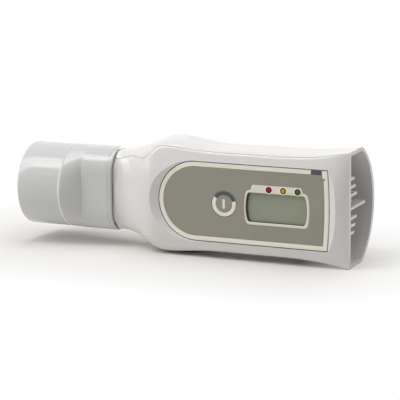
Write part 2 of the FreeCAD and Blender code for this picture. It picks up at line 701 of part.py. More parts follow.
FRONT_HALF = ("-2 * tube_radius", "2 * tube_radius + parting_depth")
GLASS_FRONT = f"({WALL_BACK} + lens_thickness + glass_gap)"
GLASS_BACK = f"({GLASS_FRONT} + glass_thickness)"
BOARD_FRONT = f"({GLASS_BACK} + strip_height)"
BOARD_BACK = f"({BOARD_FRONT} + board_thickness)"
BAY_BACK = f"({BOARD_BACK} + parts_room)"
COVER_FRONT = f"({BAY_BACK} + seal_thickness)"
COVER_BACK = f"({COVER_FRONT} + cover_thickness)"


def shell_half(name, depth):
    """Wall of the housing and its tenon on one side of the parting plane."""
    tenon_start = size("collar_end_reach") + size("tenon_length")
    tenon_end = size("collar_end_reach") - size("collar_gap")
    half_width = size("tube_radius") - size("collar_wall") - size("tenon_clearance")
    half_depth = size("collar_half_depth") - size("collar_wall") - size("tenon_clearance")
    corner = size("collar_corner") - size("collar_wall") - size("tenon_clearance")
    wall = size("tenon_wall")
    tenon = solid(name + "Tenon", oval_bar(tenon_start, tenon_end - wall, half_width, half_depth, corner))
    passage = solid(name + "Passage", oval_bar(tenon_start, tenon_end - 2 * wall, half_width - wall,
                                               half_depth - wall, corner - wall))
    body = cut(name + "Body", outer_form, inner_form)
    ring = fuse(name + "Ring", body, tenon)
    hollow = cut(name + "Hollow", ring, passage)
    half = box(name + "Half", (f"-{MOUTH_REACH}", MOUTH_REACH), depth,
               ("-2 * outlet_half_width", "4 * outlet_half_width"))
    return common(name + "Wall", hollow, half)


def compartment_ribs():
    outer = box("RibsOuter",
                ("-bay_start_reach - bay_wall", "bay_start_reach - bay_end_reach + 2 * bay_wall"),
                ("label_thickness", f"{BAY_BACK} - label_thickness"),
                ("-bay_half_width - bay_wall", "2 * (bay_half_width + bay_wall)"))
    inner = box("RibsInner", ("-bay_start_reach", "bay_start_reach - bay_end_reach"),
                ("0", BAY_BACK), ("-bay_half_width", "2 * bay_half_width"))
    return common("Ribs", cut("RibsFrame", outer, inner), outer_form)


SCREW_SPOTS = [(reach, sign) for reach in ("shoulder_post_reach", "outlet_post_reach") for sign in ("", "-")]
BOARD_SPOTS = [(reach, sign) for reach in ("(bay_start_reach - board_margin - board_screw_inset)",
                                           "board_screw_middle_reach",
                                           "(bay_end_reach + board_margin + board_screw_inset)")
               for sign in ("", "-")]
POST_Z = "(bay_half_width + bay_wall + post_clearance + post_radius)"
BOARD_SCREW_Z = "(bay_half_width - board_margin - board_screw_inset)"
SHORT_FINS = 3


def front_bosses():
    shell = [rod(f"FrontBoss{number}", "post_radius", "parting_depth - label_thickness",
                 (f"-{reach}", "label_thickness", f"{sign}{POST_Z}"))
             for number, (reach, sign) in enumerate(SCREW_SPOTS)]
    board = [rod(f"BoardBoss{number}", "board_screw_radius + bay_wall", f"{BOARD_FRONT} - label_thickness",
                 (f"-{reach}", "label_thickness", f"{sign}{BOARD_SCREW_Z}"))
             for number, (reach, sign) in enumerate(BOARD_SPOTS)]
    return common("FrontBosses", fuse("FrontBossSum", *shell, *board), outer_form)


def outlet_fins():
    """Guard of seven fins that stand on the front wall of the outlet."""
    fins = []
    for side, sign in (("Upper", ""), ("Lower", "-")):
        row = f"fin_{side.lower()}"
        for step in range(SHORT_FINS):
            height = f"{sign}({row}_first + {step} * {row}_pitch)"
            back = f"fin_short + {SHORT_FINS - 1 - step} * fin_step"
            fins.append(box(f"Fin{side}{step}", ("-fin_length", "fin_length"),
                            ("outlet_front", f"{back} - outlet_front"),
                            (f"{height} - fin_thickness / 2", "fin_thickness")))
    fins.append(box("FinMiddle", ("-fin_length", "fin_length"), ("outlet_front", "fin_long - outlet_front"),
                    ("fin_long_height - fin_thickness / 2", "fin_thickness")))
    return fuse("Fins", *fins)


def make_front_shell():
    wall = shell_half("Front", FRONT_HALF)
    body = fuse("FrontSum", wall, compartment_ribs(), front_bosses(), outlet_fins())
    window = solid("FrontWindow", window_block(0, 0, 2 * (size("label_thickness") + size("wall"))))
    key_hole = rod("FrontKeyHole", "key_radius + key_clearance", f"2 * {WALL_BACK}",
                   (KEY_X, "0", "key_height"))
    grooves = solid("FrontGrooves", groove_form())
    pilots = [rod(f"FrontPilot{number}", "screw_radius + screw_fit", "screw_length",
                  (f"-{reach}", "screw_seat - screw_length", f"{sign}{POST_Z}"))
              for number, (reach, sign) in enumerate(SCREW_SPOTS)]
    board_pilots = [rod(f"BoardPilot{number}", "board_screw_radius + screw_fit", "board_pilot_depth",
                        (f"-{reach}", f"{BOARD_FRONT} - board_pilot_depth", f"{sign}{BOARD_SCREW_Z}"))
                    for number, (reach, sign) in enumerate(BOARD_SPOTS)]
    shell = cut("FrontShell", body, make_pocket(), window, key_hole, grooves, *pilots, *board_pilots)
    finish(shell, "front_shell")


make_front_shell()


# Rear shell: the other half of the wall, with battery bay, contact posts and screw wells

DOOR_X = ("-cell_reach - pocket_half_length - door_margin", "2 * (pocket_half_length + door_margin)")
DOOR_HALF = "(cell_radius + cell_room + door_margin)"
POSTS = {"Positive": ("-cell_reach - leg_length_offset", "leg_width_offset"),
         "Negative": ("-cell_reach + leg_length_offset", "-leg_width_offset")}


def leg_slot(name, x, z):
    """Slot with clearance through the whole depth for one contact leg."""
    return box(name, (f"{x} - contact_width / 2 - contact_fit", "contact_width + 2 * contact_fit"),
               ("0", "2 * outlet_back"),
               (f"{z} - contact_thickness / 2 - contact_fit", "contact_thickness + 2 * contact_fit"))


def make_rear_shell():
    depth = ("parting_depth + parting_gap", "4 * tube_radius")
    wall = shell_half("Rear", depth)
    pocket_wall = box("BatteryBlock", ("-cell_reach - pocket_half_length - door_margin - pocket_wall",
                                       "2 * (pocket_half_length + door_margin + pocket_wall)"),
                      ("pocket_floor - pocket_wall", "outlet_back"),
                      (f"-{DOOR_HALF} - pocket_wall", f"2 * ({DOOR_HALF} + pocket_wall)"))
    block = common("BatteryBlockTrimmed", pocket_wall, outer_form)
    posts = []
    holes = []
    for name, (x, z) in POSTS.items():
        posts.append(box(f"Post{name}", (f"{x} - post_half_width", "2 * post_half_width"),
                         (COVER_BACK, f"pocket_floor - {COVER_BACK}"),
                         (f"{z} - post_half_width", "2 * post_half_width")))
        holes.append(leg_slot(f"PostHole{name}", x, z))
    wells = []
    shanks = []
    rings = []
    for number, (reach, sign) in enumerate(SCREW_SPOTS):
        at = (f"-{reach}", "parting_depth + parting_gap", f"{sign}{POST_Z}")
        rings.append(rod(f"RearBoss{number}", "screw_head_radius + well_wall", "outlet_back", at))
        wells.append(rod(f"RearWell{number}", "screw_head_radius + head_clearance", "outlet_back",
                         (f"-{reach}", "screw_seat", f"{sign}{POST_Z}")))
        shanks.append(rod(f"RearShank{number}", "screw_radius + shank_clearance", "outlet_back", at))
    bosses = common("RearBosses", fuse("RearBossSum", *rings), outer_form)
    body = fuse("RearSum", wall, block, bosses, *posts)
    cavity = box("BatteryCavity", ("-cell_reach - pocket_half_length", "2 * pocket_half_length"),
                 ("pocket_floor", "outlet_back"),
                 ("-cell_radius - cell_room", "2 * (cell_radius + cell_room)"))
    opening = box("DoorOpening", DOOR_X, ("parting_depth", "2 * outlet_back"),
                  (f"-{DOOR_HALF}", f"2 * {DOOR_HALF}"))
    door_space = cut("DoorSpace", opening, seat_form)
    finish(cut("RearShell", body, cavity, door_space, *holes, *wells, *shanks), "rear_shell")


make_rear_shell()


# Battery door: a piece of the back wall with two locating ribs


def make_battery_door():
    skin = cut("DoorSkin", outer_form, inner_form)
    trim = box("DoorTrim", ("-cell_reach - pocket_half_length - door_margin + door_gap",
                            "2 * (pocket_half_length + door_margin - door_gap)"),
               ("parting_depth", "2 * outlet_back"),
               (f"-{DOOR_HALF} + door_gap", f"2 * ({DOOR_HALF} - door_gap)"))
    plate = common("DoorPlate", skin, trim)
    ribs = []
    for name, sign in (("Upper", ""), ("Lower", "-")):
        ribs.append(box(f"DoorRib{name}", ("-cell_reach - pocket_half_length / 2", "pocket_half_length"),
                        ("pocket_floor + contact_thickness + cell_thickness + door_gap", "outlet_back"),
                        (f"{sign}(cell_radius + cell_room - door_gap - pocket_wall / 2) - pocket_wall / 2",
                         "pocket_wall")))
    trimmed = common("DoorRibs", fuse("DoorRibSum", *ribs), outer_form)
    finish(fuse("BatteryDoor", plate, trimmed), "battery_door")


make_battery_door()


# Power key: a cap level with the label, a retaining flange and a stem


def make_power_key():
    flange_front = f"({WALL_BACK} + key_play)"
    switch_front = f"({BOARD_FRONT} - strip_height)"
    cap = rod("KeyCap", "key_radius", f"{flange_front} + key_flange_thickness", (KEY_X, 0, "key_height"))
    flange = rod("KeyFlange", "key_radius + key_flange", "key_flange_thickness",
                 (KEY_X, flange_front, "key_height"))
    stem = rod("KeyStem", "key_stem_radius", f"{switch_front} - key_travel - key_play",
               (KEY_X, 0, "key_height"))
    finish(fuse("PowerKey", cap, flange, stem), "power_key")


make_power_key()


# Display: clear window, liquid crystal glass, contact strips and holder


def plate(name, start, depth, grow):
    """Rectangular plate behind the display opening."""
    return box(name, (f"-display_reach - window_half_length - window_bow - {grow}",
                      f"2 * (window_half_length + window_bow + {grow})"), (start, depth),
               (f"-window_bottom - {grow}", f"window_top + window_bottom + 2 * {grow}"))


finish(plate("DisplayWindow", WALL_BACK, "lens_thickness", "glass_margin"), "display_window")
finish(plate("DisplayGlass", GLASS_FRONT, "glass_thickness", "glass_margin"), "display_glass")

STRIP_LENGTH = "2 * (window_half_length + window_bow)"
strips = []
for strip_name, strip_z in (("Upper", "window_top + glass_margin - strip_thickness"),
                            ("Lower", "-window_bottom - glass_margin")):
    strips.append(box(f"Strip{strip_name}",
                      ("-display_reach - window_half_length - window_bow", STRIP_LENGTH),
                      (GLASS_BACK, "strip_height"), (strip_z, "strip_thickness")))
finish(fuse("ContactStrips", *strips), "contact_strips")

holder_outer = plate("HolderOuter", WALL_BACK, f"{BOARD_FRONT} - {WALL_BACK}",
                     "(glass_margin + label_fit + holder_wall)")
holder_inner = plate("HolderInner", "0", "2 * parting_depth", "(glass_margin + label_fit)")
finish(cut("DisplayHolder", holder_outer, holder_inner), "display_holder")


# Circuit board: sketched outline, padded, with its screw holes


def rectangle_body(name, label, x, z, start, thickness):
    """Body with one padded rectangle; x and z are pairs of low and high formulas."""
    body = doc.addObject("PartDesign::Body", name)
    plane = next(item for item in body.Origin.OriginFeatures if item.Role == "XZ_Plane")
    sketch = body.newObject("Sketcher::SketchObject", name + "Outline")
    sketch.AttachmentSupport = [(plane, "")]
    sketch.MapMode = "FlatFace"
    side = size("bay_half_width")
    corners = [Vector(0, 0), Vector(side, 0), Vector(side, side), Vector(0, side)]
    for first, second in zip(corners, corners[1:] + corners[:1]):
        sketch.addGeometry(Part.LineSegment(first, second))
    add_rectangle_constraints(sketch, x, z)
    pad = body.newObject("PartDesign::Pad", name + "Pad")
    pad.Profile = sketch
    pad.Reversed = True
    bind(pad, Length=thickness)
    bind(sketch, AttachmentOffset__Base__z=f"-{start}")
    body.Label = label
    return body


def add_rectangle_constraints(sketch, x, z):
    for first in range(4):
        sketch.addConstraint(Sketcher.Constraint("Coincident", first, 2, (first + 1) % 4, 1))
    for line, direction in ((0, "Horizontal"), (1, "Vertical"), (2, "Horizontal"), (3, "Vertical")):
        sketch.addConstraint(Sketcher.Constraint(direction, line))
    for kind, line, point, text in (("DistanceX", 0, 1, x[0]), ("DistanceY", 0, 1, z[0]),
                                    ("DistanceX", 1, 2, x[1]), ("DistanceY", 1, 2, z[1])):
        place_constraint = sketch.addConstraint(Sketcher.Constraint(kind, -1, 1, line, point, 1.0))
        sketch.setExpression(f"Constraints[{place_constraint}]", formula(text))


BOARD_X = ("-bay_start_reach + board_margin", "-bay_end_reach - board_margin")
BOARD_Z = ("-bay_half_width + board_margin", "bay_half_width - board_margin")

board_blank = rectangle_body("BoardBlank", "board_blank", BOARD_X, BOARD_Z, BOARD_FRONT, "board_thickness")
board_holes = [rod(f"BoardHole{number}", "board_screw_radius + shank_clearance", "2 * parting_depth",
                   (f"-{reach}", "0", f"{sign}{BOARD_SCREW_Z}"))
               for number, (reach, sign) in enumerate(BOARD_SPOTS)]
leg_slots = [leg_slot(f"BoardSlot{name}", x, z) for name, (x, z) in POSTS.items()]
finish(cut("MainBoard", board_blank, *board_holes, *leg_slots), "main_board")


def chip(name, label, reach, height, half_length, half_width):
    """Flat part soldered to the back of the board."""
    block = box(name, (f"-{reach} - {half_length}", f"2 * {half_length}"), (BOARD_BACK, "chip_thickness"),
                (f"{height} - {half_width}", f"2 * {half_width}"))
    finish(block, label)


chip("Microcontroller", "microcontroller", "controller_reach", "0", "controller_half", "controller_half")
chip("HallSensor", "hall_sensor", "vane_reach", "-(ear_height - vane_end_play - magnet_length / 2)",
     "sensor_half_length", "sensor_half_width")
chip("MemoryChip", "memory_chip", "memory_reach", "memory_height", "memory_half_length", "memory_half_width")

GROUP_COLUMNS = 4
GROUP_ROWS = 2
small_parts = []
for group, reach, height in (("Left", "left_group_reach", "-left_group_height"),
                             ("Right", "right_group_reach", "right_group_height")):
    for column in range(GROUP_COLUMNS):
        for line in range(GROUP_ROWS):
            small_parts.append(box(f"SmallPart{group}{column}{line}",
                                   (f"-{reach} + {column} * small_part_step - small_part_length / 2",
                                    "small_part_length"),
                                   (BOARD_BACK, "small_part_thickness"),
                                   (f"{height} + {line} * small_part_row - small_part_width / 2",
                                    "small_part_width")))
finish(fuse("BoardParts", *small_parts), "board_parts")

SWITCH_FRONT = f"({BOARD_FRONT} - strip_height)"
switch_body = box("SwitchBody", (f"{KEY_X} - switch_half", "2 * switch_half"),
                  (f"{SWITCH_FRONT} + switch_button", "strip_height - switch_button"),
                  ("key_height - switch_half", "2 * switch_half"))
switch_button = rod("SwitchButton", "key_stem_radius", "strip_height", (KEY_X, SWITCH_FRONT, "key_height"))
finish(fuse("KeySwitch", switch_body, switch_button), "key_switch")

buzzer = rod("Buzzer", "buzzer_radius", "buzzer_height",
             ("-(bay_start_reach - buzzer_margin - buzzer_radius)", f"{BOARD_FRONT} - buzzer_height", "0"))
finish(buzzer, "buzzer")

board_screws = []
for screw_number, (screw_reach, screw_sign) in enumerate(BOARD_SPOTS):
    spot = (f"-{screw_reach}", BOARD_BACK, f"{screw_sign}{BOARD_SCREW_Z}")
    board_screws.append(rod(f"BoardScrewHead{screw_number}", "board_screw_head",
                            "board_screw_head_height", spot))
    shank = (spot[0], f"{BOARD_FRONT} - board_screw_length", spot[2])
    board_screws.append(rod(f"BoardScrewShank{screw_number}", "board_screw_radius",
                            "board_screw_length + board_thickness + board_screw_head_height / 2", shank))
finish(fuse("BoardScrews", *board_screws), "board_screws")


# Seal and inner cover: they close the compartment towards the airway

RIM_X = ("-bay_start_reach - bay_wall", "bay_start_reach - bay_end_reach + 2 * bay_wall")
RIM_Z = ("-bay_half_width - bay_wall", "2 * (bay_half_width + bay_wall)")
seal_outer = box("SealOuter", RIM_X, (BAY_BACK, "seal_thickness"), RIM_Z)
seal_inner = box("SealInner", ("-bay_start_reach", "bay_start_reach - bay_end_reach"),
                 ("0", "2 * parting_depth"), ("-bay_half_width", "2 * bay_half_width"))
finish(cut("CoverSeal", seal_outer, seal_inner), "cover_seal")

EAR_RADIUS = "(shaft_radius + shaft_clearance + bush_wall + ear_wall)"
BUSH_RADIUS = "(shaft_radius + shaft_clearance + bush_wall)"
EAR_STARTS = {"Upper": "ear_height", "Lower": "-ear_height - ear_thickness"}


def cover_ramp():
    """Wedge that leads the air from the neck over the end of the compartment."""
    start = size("bay_start_reach") + size("bay_wall")
    layers = ("label_thickness", "wall", "lens_thickness", "glass_gap", "glass_thickness", "strip_height",
              "board_thickness", "parts_room", "seal_thickness")
    cover_front = sum(size(layer) for layer in layers)
    cover_back = cover_front + size("cover_thickness")
    half = size("bay_half_width") + size("bay_wall")
    wedge = Part.makePolygon([
        Vector(-start, cover_front, -half),
        Vector(-start, cover_back, -half),
        Vector(-start - size("cover_nose"), cover_front, -half),
        Vector(-start, cover_front, -half),
    ])
    return Part.Face(wedge).extrude(Vector(0, 0, 2 * half))


def make_inner_cover():
    plate_box = box("CoverPlate", RIM_X, (COVER_FRONT, "cover_thickness"), RIM_Z)
    parts = [plate_box, solid("CoverRamp", cover_ramp())]
    holes = []
    for name, start in EAR_STARTS.items():
        parts.append(box(f"EarFoot{name}", (f"-vane_reach - {EAR_RADIUS}", f"2 * {EAR_RADIUS}"),
                         (COVER_FRONT, f"vane_axis - {COVER_FRONT}"), (start, "ear_thickness")))
        at = ("-vane_reach", "vane_axis", start)
        parts.append(rod(f"EarRound{name}", EAR_RADIUS, "ear_thickness", at, UPRIGHT))
        holes.append(rod(f"EarHole{name}", BUSH_RADIUS, "ear_thickness", at, UPRIGHT))
    slots = [leg_slot(f"CoverSlot{name}", x, z) for name, (x, z) in POSTS.items()]
    finish(cut("InnerCover", fuse("CoverSum", *parts), *holes, *slots), "inner_cover")


make_inner_cover()


# Flow vane with its shaft, bushes, ring magnet and return spring


def make_vane():
    reach = size("vane_reach")
    half_thickness = size("vane_thickness") / 2
    gap = size("vane_clearance")
    duct = section(reach, size("wall") + gap, True)
    blank = Part.Face(duct).extrude(Vector(size("vane_thickness"), 0, 0))
    blank.translate(Vector(-half_thickness, 0, 0))
    duct_plate = solid("VaneBlank", blank)
    wide = box("VaneWide", ("-2 * vane_reach", "2 * vane_reach"),
               ("vane_axis + vane_shoulder", "outlet_back"),
               ("-outlet_half_width", "2 * outlet_half_width"))
    neck_box = box("VaneNeck", ("-vane_reach - vane_thickness / 2", "vane_thickness"),
                   ("vane_axis", "vane_shoulder"),
                   ("-ear_height + 2 * vane_end_play + magnet_length",
                    "ear_height - 2 * vane_end_play - magnet_length + vane_hub_top"))
    hub = rod("VaneHub", "vane_hub_radius", "ear_height - 2 * vane_end_play - magnet_length + vane_hub_top",
              ("-vane_reach", "vane_axis", "-ear_height + 2 * vane_end_play + magnet_length"), UPRIGHT)
    hole = rod("VaneHole", "shaft_radius", "4 * ear_height",
               ("-vane_reach", "vane_axis", "-2 * ear_height"), UPRIGHT)
    plate_part = common("VanePlate", duct_plate, wide)
    finish(cut("FlowVane", fuse("VaneSum", plate_part, neck_box, hub), hole), "flow_vane")


make_vane()

SHAFT_HALF = "(ear_height + ear_thickness)"
shaft = rod("VaneShaft", "shaft_radius", f"2 * {SHAFT_HALF}",
            ("-vane_reach", "vane_axis", f"-{SHAFT_HALF}"), UPRIGHT)
finish(shaft, "vane_shaft")

bushes = []
for bush_name, bush_start in EAR_STARTS.items():
    bush_at = ("-vane_reach", "vane_axis", bush_start)
    bush = rod(f"Bush{bush_name}", BUSH_RADIUS, "ear_thickness", bush_at, UPRIGHT)
    bore = rod(f"BushBore{bush_name}", "shaft_radius + shaft_clearance", "ear_thickness", bush_at, UPRIGHT)
    bushes.append(cut(f"BushRing{bush_name}", bush, bore))
finish(fuse("VaneBushes", *bushes), "vane_bushes")

MAGNET_START = "-ear_height + vane_end_play"
MAGNET_AT = ("-vane_reach", "vane_axis", MAGNET_START)
magnet = rod("MagnetOuter", "vane_hub_radius", "magnet_length", MAGNET_AT, UPRIGHT)
magnet_bore = rod("MagnetBore", "shaft_radius", "magnet_length", MAGNET_AT, UPRIGHT)
finish(cut("VaneMagnet", magnet, magnet_bore), "vane_magnet")


def make_spring():
    """Torsion spring wound round the shaft above the hub."""
    wire = size("spring_wire")
    radius = size("shaft_radius") + size("spring_gap") + wire / 2
    start = size("vane_hub_top") + size("vane_end_play") + wire / 2
    end = size("ear_height") - size("vane_end_play") - wire / 2
    pitch = (end - start) / size("spring_turns")
    helix = Part.makeHelix(pitch, end - start, radius)
    circle = Part.Circle(Vector(radius, 0, 0), Vector(0, 1, 0), wire / 2).toShape()
    coil = Part.Wire(helix).makePipeShell([Part.Wire(circle)], True, True)
    spring = solid("VaneSpring", coil)
    place(spring, "-vane_reach", "vane_axis", "vane_hub_top + vane_end_play + spring_wire / 2")
    finish(spring, "vane_spring")


make_spring()


# Coin cell and its two contacts

CELL_FRONT = "(pocket_floor + contact_thickness)"
finish(rod("CoinCell", "cell_radius", "cell_thickness", ("-cell_reach", CELL_FRONT, 0)), "coin_cell")


def make_contacts():
    """Negative plate under the cell and positive clip beside it, each with a leg down to the board."""
    leg_start = BOARD_FRONT
    for name, (x, z) in POSTS.items():
        leg = box(f"Leg{name}", (f"{x} - contact_width / 2", "contact_width"),
                  (leg_start, f"{CELL_FRONT} - {leg_start}"),
                  (f"{z} - contact_thickness / 2", "contact_thickness"))
        if name == "Negative":
            plate_length = f"{x} + contact_width / 2 + cell_reach + cell_radius / 2"
            foot = box("NegativePlate", ("-cell_reach - cell_radius / 2", plate_length),
                       ("pocket_floor", "contact_thickness"),
                       ("-leg_width_offset - contact_thickness / 2", "leg_width_offset + cell_radius / 2"))
        else:
            foot = box("PositiveClip", ("-cell_reach - cell_radius - contact_fit - contact_thickness",
                                        "contact_thickness"),
                       ("pocket_floor", "contact_thickness + cell_thickness"),
                       ("-cell_radius / 4", "leg_width_offset + cell_radius / 4 + contact_thickness / 2"))
        finish(fuse(f"{name}Contact", leg, foot), f"{name.lower()}_contact")


make_contacts()


# Shell screws

shell_screws = []
for screw_number, (screw_reach, screw_sign) in enumerate(SCREW_SPOTS):
    screw_z = f"{screw_sign}{POST_Z}"
    shell_screws.append(rod(f"ScrewHead{screw_number}", "screw_head_radius", "screw_head_height",
                            (f"-{screw_reach}", "screw_seat", screw_z)))
    shell_screws.append(rod(f"ScrewShank{screw_number}", "screw_radius", "screw_length",
                            (f"-{screw_reach}", "screw_seat - screw_length", screw_z)))
finish(fuse("ShellScrews", *shell_screws), "shell_screws")


doc.recompute()

for thing in doc.Objects:
    if "Invalid" in thing.State or "Error" in thing.State:
        raise RuntimeError(f"{thing.Name} failed: {thing.State}")
for thing in pieces:
    if thing.Shape.isNull() or not thing.Shape.isValid():
        raise RuntimeError(f"{thing.Label} has no valid shape")

os.makedirs("parts", exist_ok=True)
for thing in pieces:
    thing.Shape.exportStep(f"parts/{thing.Label}.step")
    bounds = thing.Shape.BoundBox
    print(f"{thing.Label}: {len(thing.Shape.Solids)} solids, {thing.Shape.Volume:.1f} mm3,"
          f" x {bounds.XMin:.2f} to {bounds.XMax:.2f}, y {bounds.YMin:.2f} to {bounds.YMax:.2f},"
          f" z {bounds.ZMin:.2f} to {bounds.ZMax:.2f}")
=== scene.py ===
"""Looks of an electronic peak flow meter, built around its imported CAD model.

The meter stands on its long narrow side. Lengths in the helpers are millimetres in the construction frame of
the meter: X runs from the mouthpiece to the outlet with zero on the outlet plane, Y from the label plane to
the back, Z up from the middle plane. spot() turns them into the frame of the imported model.
"""

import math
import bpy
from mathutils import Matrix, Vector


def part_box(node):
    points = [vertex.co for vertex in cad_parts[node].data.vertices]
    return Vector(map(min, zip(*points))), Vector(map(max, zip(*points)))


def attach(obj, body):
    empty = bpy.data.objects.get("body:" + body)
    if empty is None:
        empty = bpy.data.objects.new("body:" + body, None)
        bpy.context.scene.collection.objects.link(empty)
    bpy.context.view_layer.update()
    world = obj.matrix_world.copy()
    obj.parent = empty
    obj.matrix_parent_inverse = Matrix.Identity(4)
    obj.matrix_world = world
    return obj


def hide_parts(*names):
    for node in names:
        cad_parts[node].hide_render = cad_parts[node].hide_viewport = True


bl_info = {
    "name": "Peak Flow Meter",
    "version": (1, 0, 0),
    "blender": (4, 5, 0),
    "location": "View3D > Sidebar > Meter",
    "description": "Builds the looks of an electronic peak flow meter around its CAD frame",
    "category": "Object",
}

import bmesh
import bpy
from mathutils import Matrix, Vector

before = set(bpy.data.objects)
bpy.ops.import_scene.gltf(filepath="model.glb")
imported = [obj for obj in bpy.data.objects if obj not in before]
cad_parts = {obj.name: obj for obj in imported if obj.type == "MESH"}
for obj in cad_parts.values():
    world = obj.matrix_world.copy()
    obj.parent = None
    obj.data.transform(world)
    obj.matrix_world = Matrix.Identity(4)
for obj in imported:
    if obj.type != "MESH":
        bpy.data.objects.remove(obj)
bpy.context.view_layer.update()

MM = 0.001
OUTLET_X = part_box("front_shell")[1].x
LABEL_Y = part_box("label_overlay")[0].y
MIDDLE_Z = (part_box("mouthpiece")[0].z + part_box("mouthpiece")[1].z) / 2


def spot(x, y, z):
    """A place in the construction frame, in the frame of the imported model."""
    return Vector((OUTLET_X + x * MM, LABEL_Y + y * MM, MIDDLE_Z + z * MM))


# Settings

def colour(name, text, value):
    """Setting for a colour."""
    return bpy.props.FloatVectorProperty(name=name, description=text, subtype="COLOR", size=4,
                                         min=0.0, max=1.0, default=(*value, 1.0))


def length(name, text, value):
    """Setting for a length: written here in millimetres and kept in metres."""
    return bpy.props.FloatProperty(name=name, description=text, default=value * MM,
                                   unit="LENGTH", precision=5)


class MeterColours(bpy.types.PropertyGroup):
    """Colours of the parts that can be seen"""
    shell: colour("Shell", "Glossy plastic of the housing", (0.715, 0.694, 0.682))
    mouth: colour("Mouthpiece", "Satin plastic of the mouthpiece", (0.565, 0.565, 0.56))
    trim: colour("Trim", "Cream of the label frame, the bezel and the key marks", (0.86, 0.825, 0.71))
    label: colour("Label", "Grey-green film of the label and the key", (0.285, 0.27, 0.218))
    display: colour("Display", "Liquid crystal display when it is off", (0.35, 0.375, 0.272))
    mark: colour("Dark mark", "Dark ring segment of the key and inlay of the frame", (0.055, 0.07, 0.066))
    low_zone: colour("Low zone", "Dot of the low zone", (0.24, 0.004, 0.006))
    middle_zone: colour("Middle zone", "Dot of the middle zone", (0.42, 0.25, 0.02))
    high_zone: colour("High zone", "Dot of the high zone", (0.035, 0.12, 0.006))


class MeterSizes(bpy.types.PropertyGroup):
    """Sizes of the trim and of the marks"""
    edge: length("Edge", "Rounding of the small edges of the trim", 0.16)
    key_radius: length("Key radius", "Radius of the power key", 5.3)
    ring_outer: length("Ring outside", "Outer radius of the ring on the key", 5.12)
    ring_inner: length("Ring inside", "Inner radius of the ring on the key", 3.62)
    dot_radius: length("Dot radius", "Radius of the zone dots", 1.32)


# Shader building

BLACK = (0.0, 0.0, 0.0, 1.0)
WHITE = (1.0, 1.0, 1.0, 1.0)


def connect(tree, socket, value):
    """Link a term to a socket, or set the socket to a plain value."""
    if isinstance(value, Term):
        tree.links.new(value.socket, socket)
    else:
        socket.default_value = value


class Term:
    """What a node gives. Arithmetic on it adds Math nodes."""

    def __init__(self, tree, socket):
        self.tree = tree
        self.socket = socket

    def calculate(self, operation, *values):
        return Nodes(self.tree).node("Math", {"operation": operation}, sockets=dict(enumerate(values)))

    def __add__(self, other):
        return self.calculate("ADD", self, other)

    def __radd__(self, other):
        return self.calculate("ADD", other, self)

    def __sub__(self, other):
        return self.calculate("SUBTRACT", self, other)

    def __rsub__(self, other):
        return self.calculate("SUBTRACT", other, self)

    def __mul__(self, other):
        return self.calculate("MULTIPLY", self, other)

    def __rmul__(self, other):
        return self.calculate("MULTIPLY", other, self)

    def __abs__(self):
        return self.calculate("ABSOLUTE", self)

    def at_least(self, other):
        return self.calculate("MAXIMUM", self, other)

    def at_most(self, other):
        return self.calculate("MINIMUM", self, other)

    def root(self):
        return self.calculate("SQRT", self)


class Nodes:
    """The nodes of one tree."""

    def __init__(self, tree):
        self.tree = tree

    def node(self, kind, settings=None, output=0, sockets=None, **values):
        """Any node: its type, its settings and the values or links of its sockets, by number or by name."""
        made = self.tree.nodes.new("ShaderNode" + kind)
        for key, value in (settings or {}).items():
            if key == "stops":
                for stop, (position, level) in zip(made.color_ramp.elements, value):
                    stop.position = position
                    stop.color = (level, level, level, 1.0)
            else:
                setattr(made, key, value)
        for number, value in (sockets or {}).items():
            connect(self.tree, made.inputs[number], value)
        for key, value in values.items():
            connect(self.tree, made.inputs[key.replace("_", " ")], value)
        return Term(self.tree, made.outputs[output])

    def seen(self):
        """1 for rays from the camera, a mirror or a clear part, which see the plain white of the studio."""
        camera, mirror, clear = [self.node("LightPath", output=f"Is {kind} Ray")
                                 for kind in ("Camera", "Glossy", "Transmission")]
        return (camera + mirror + clear).at_most(1.0)


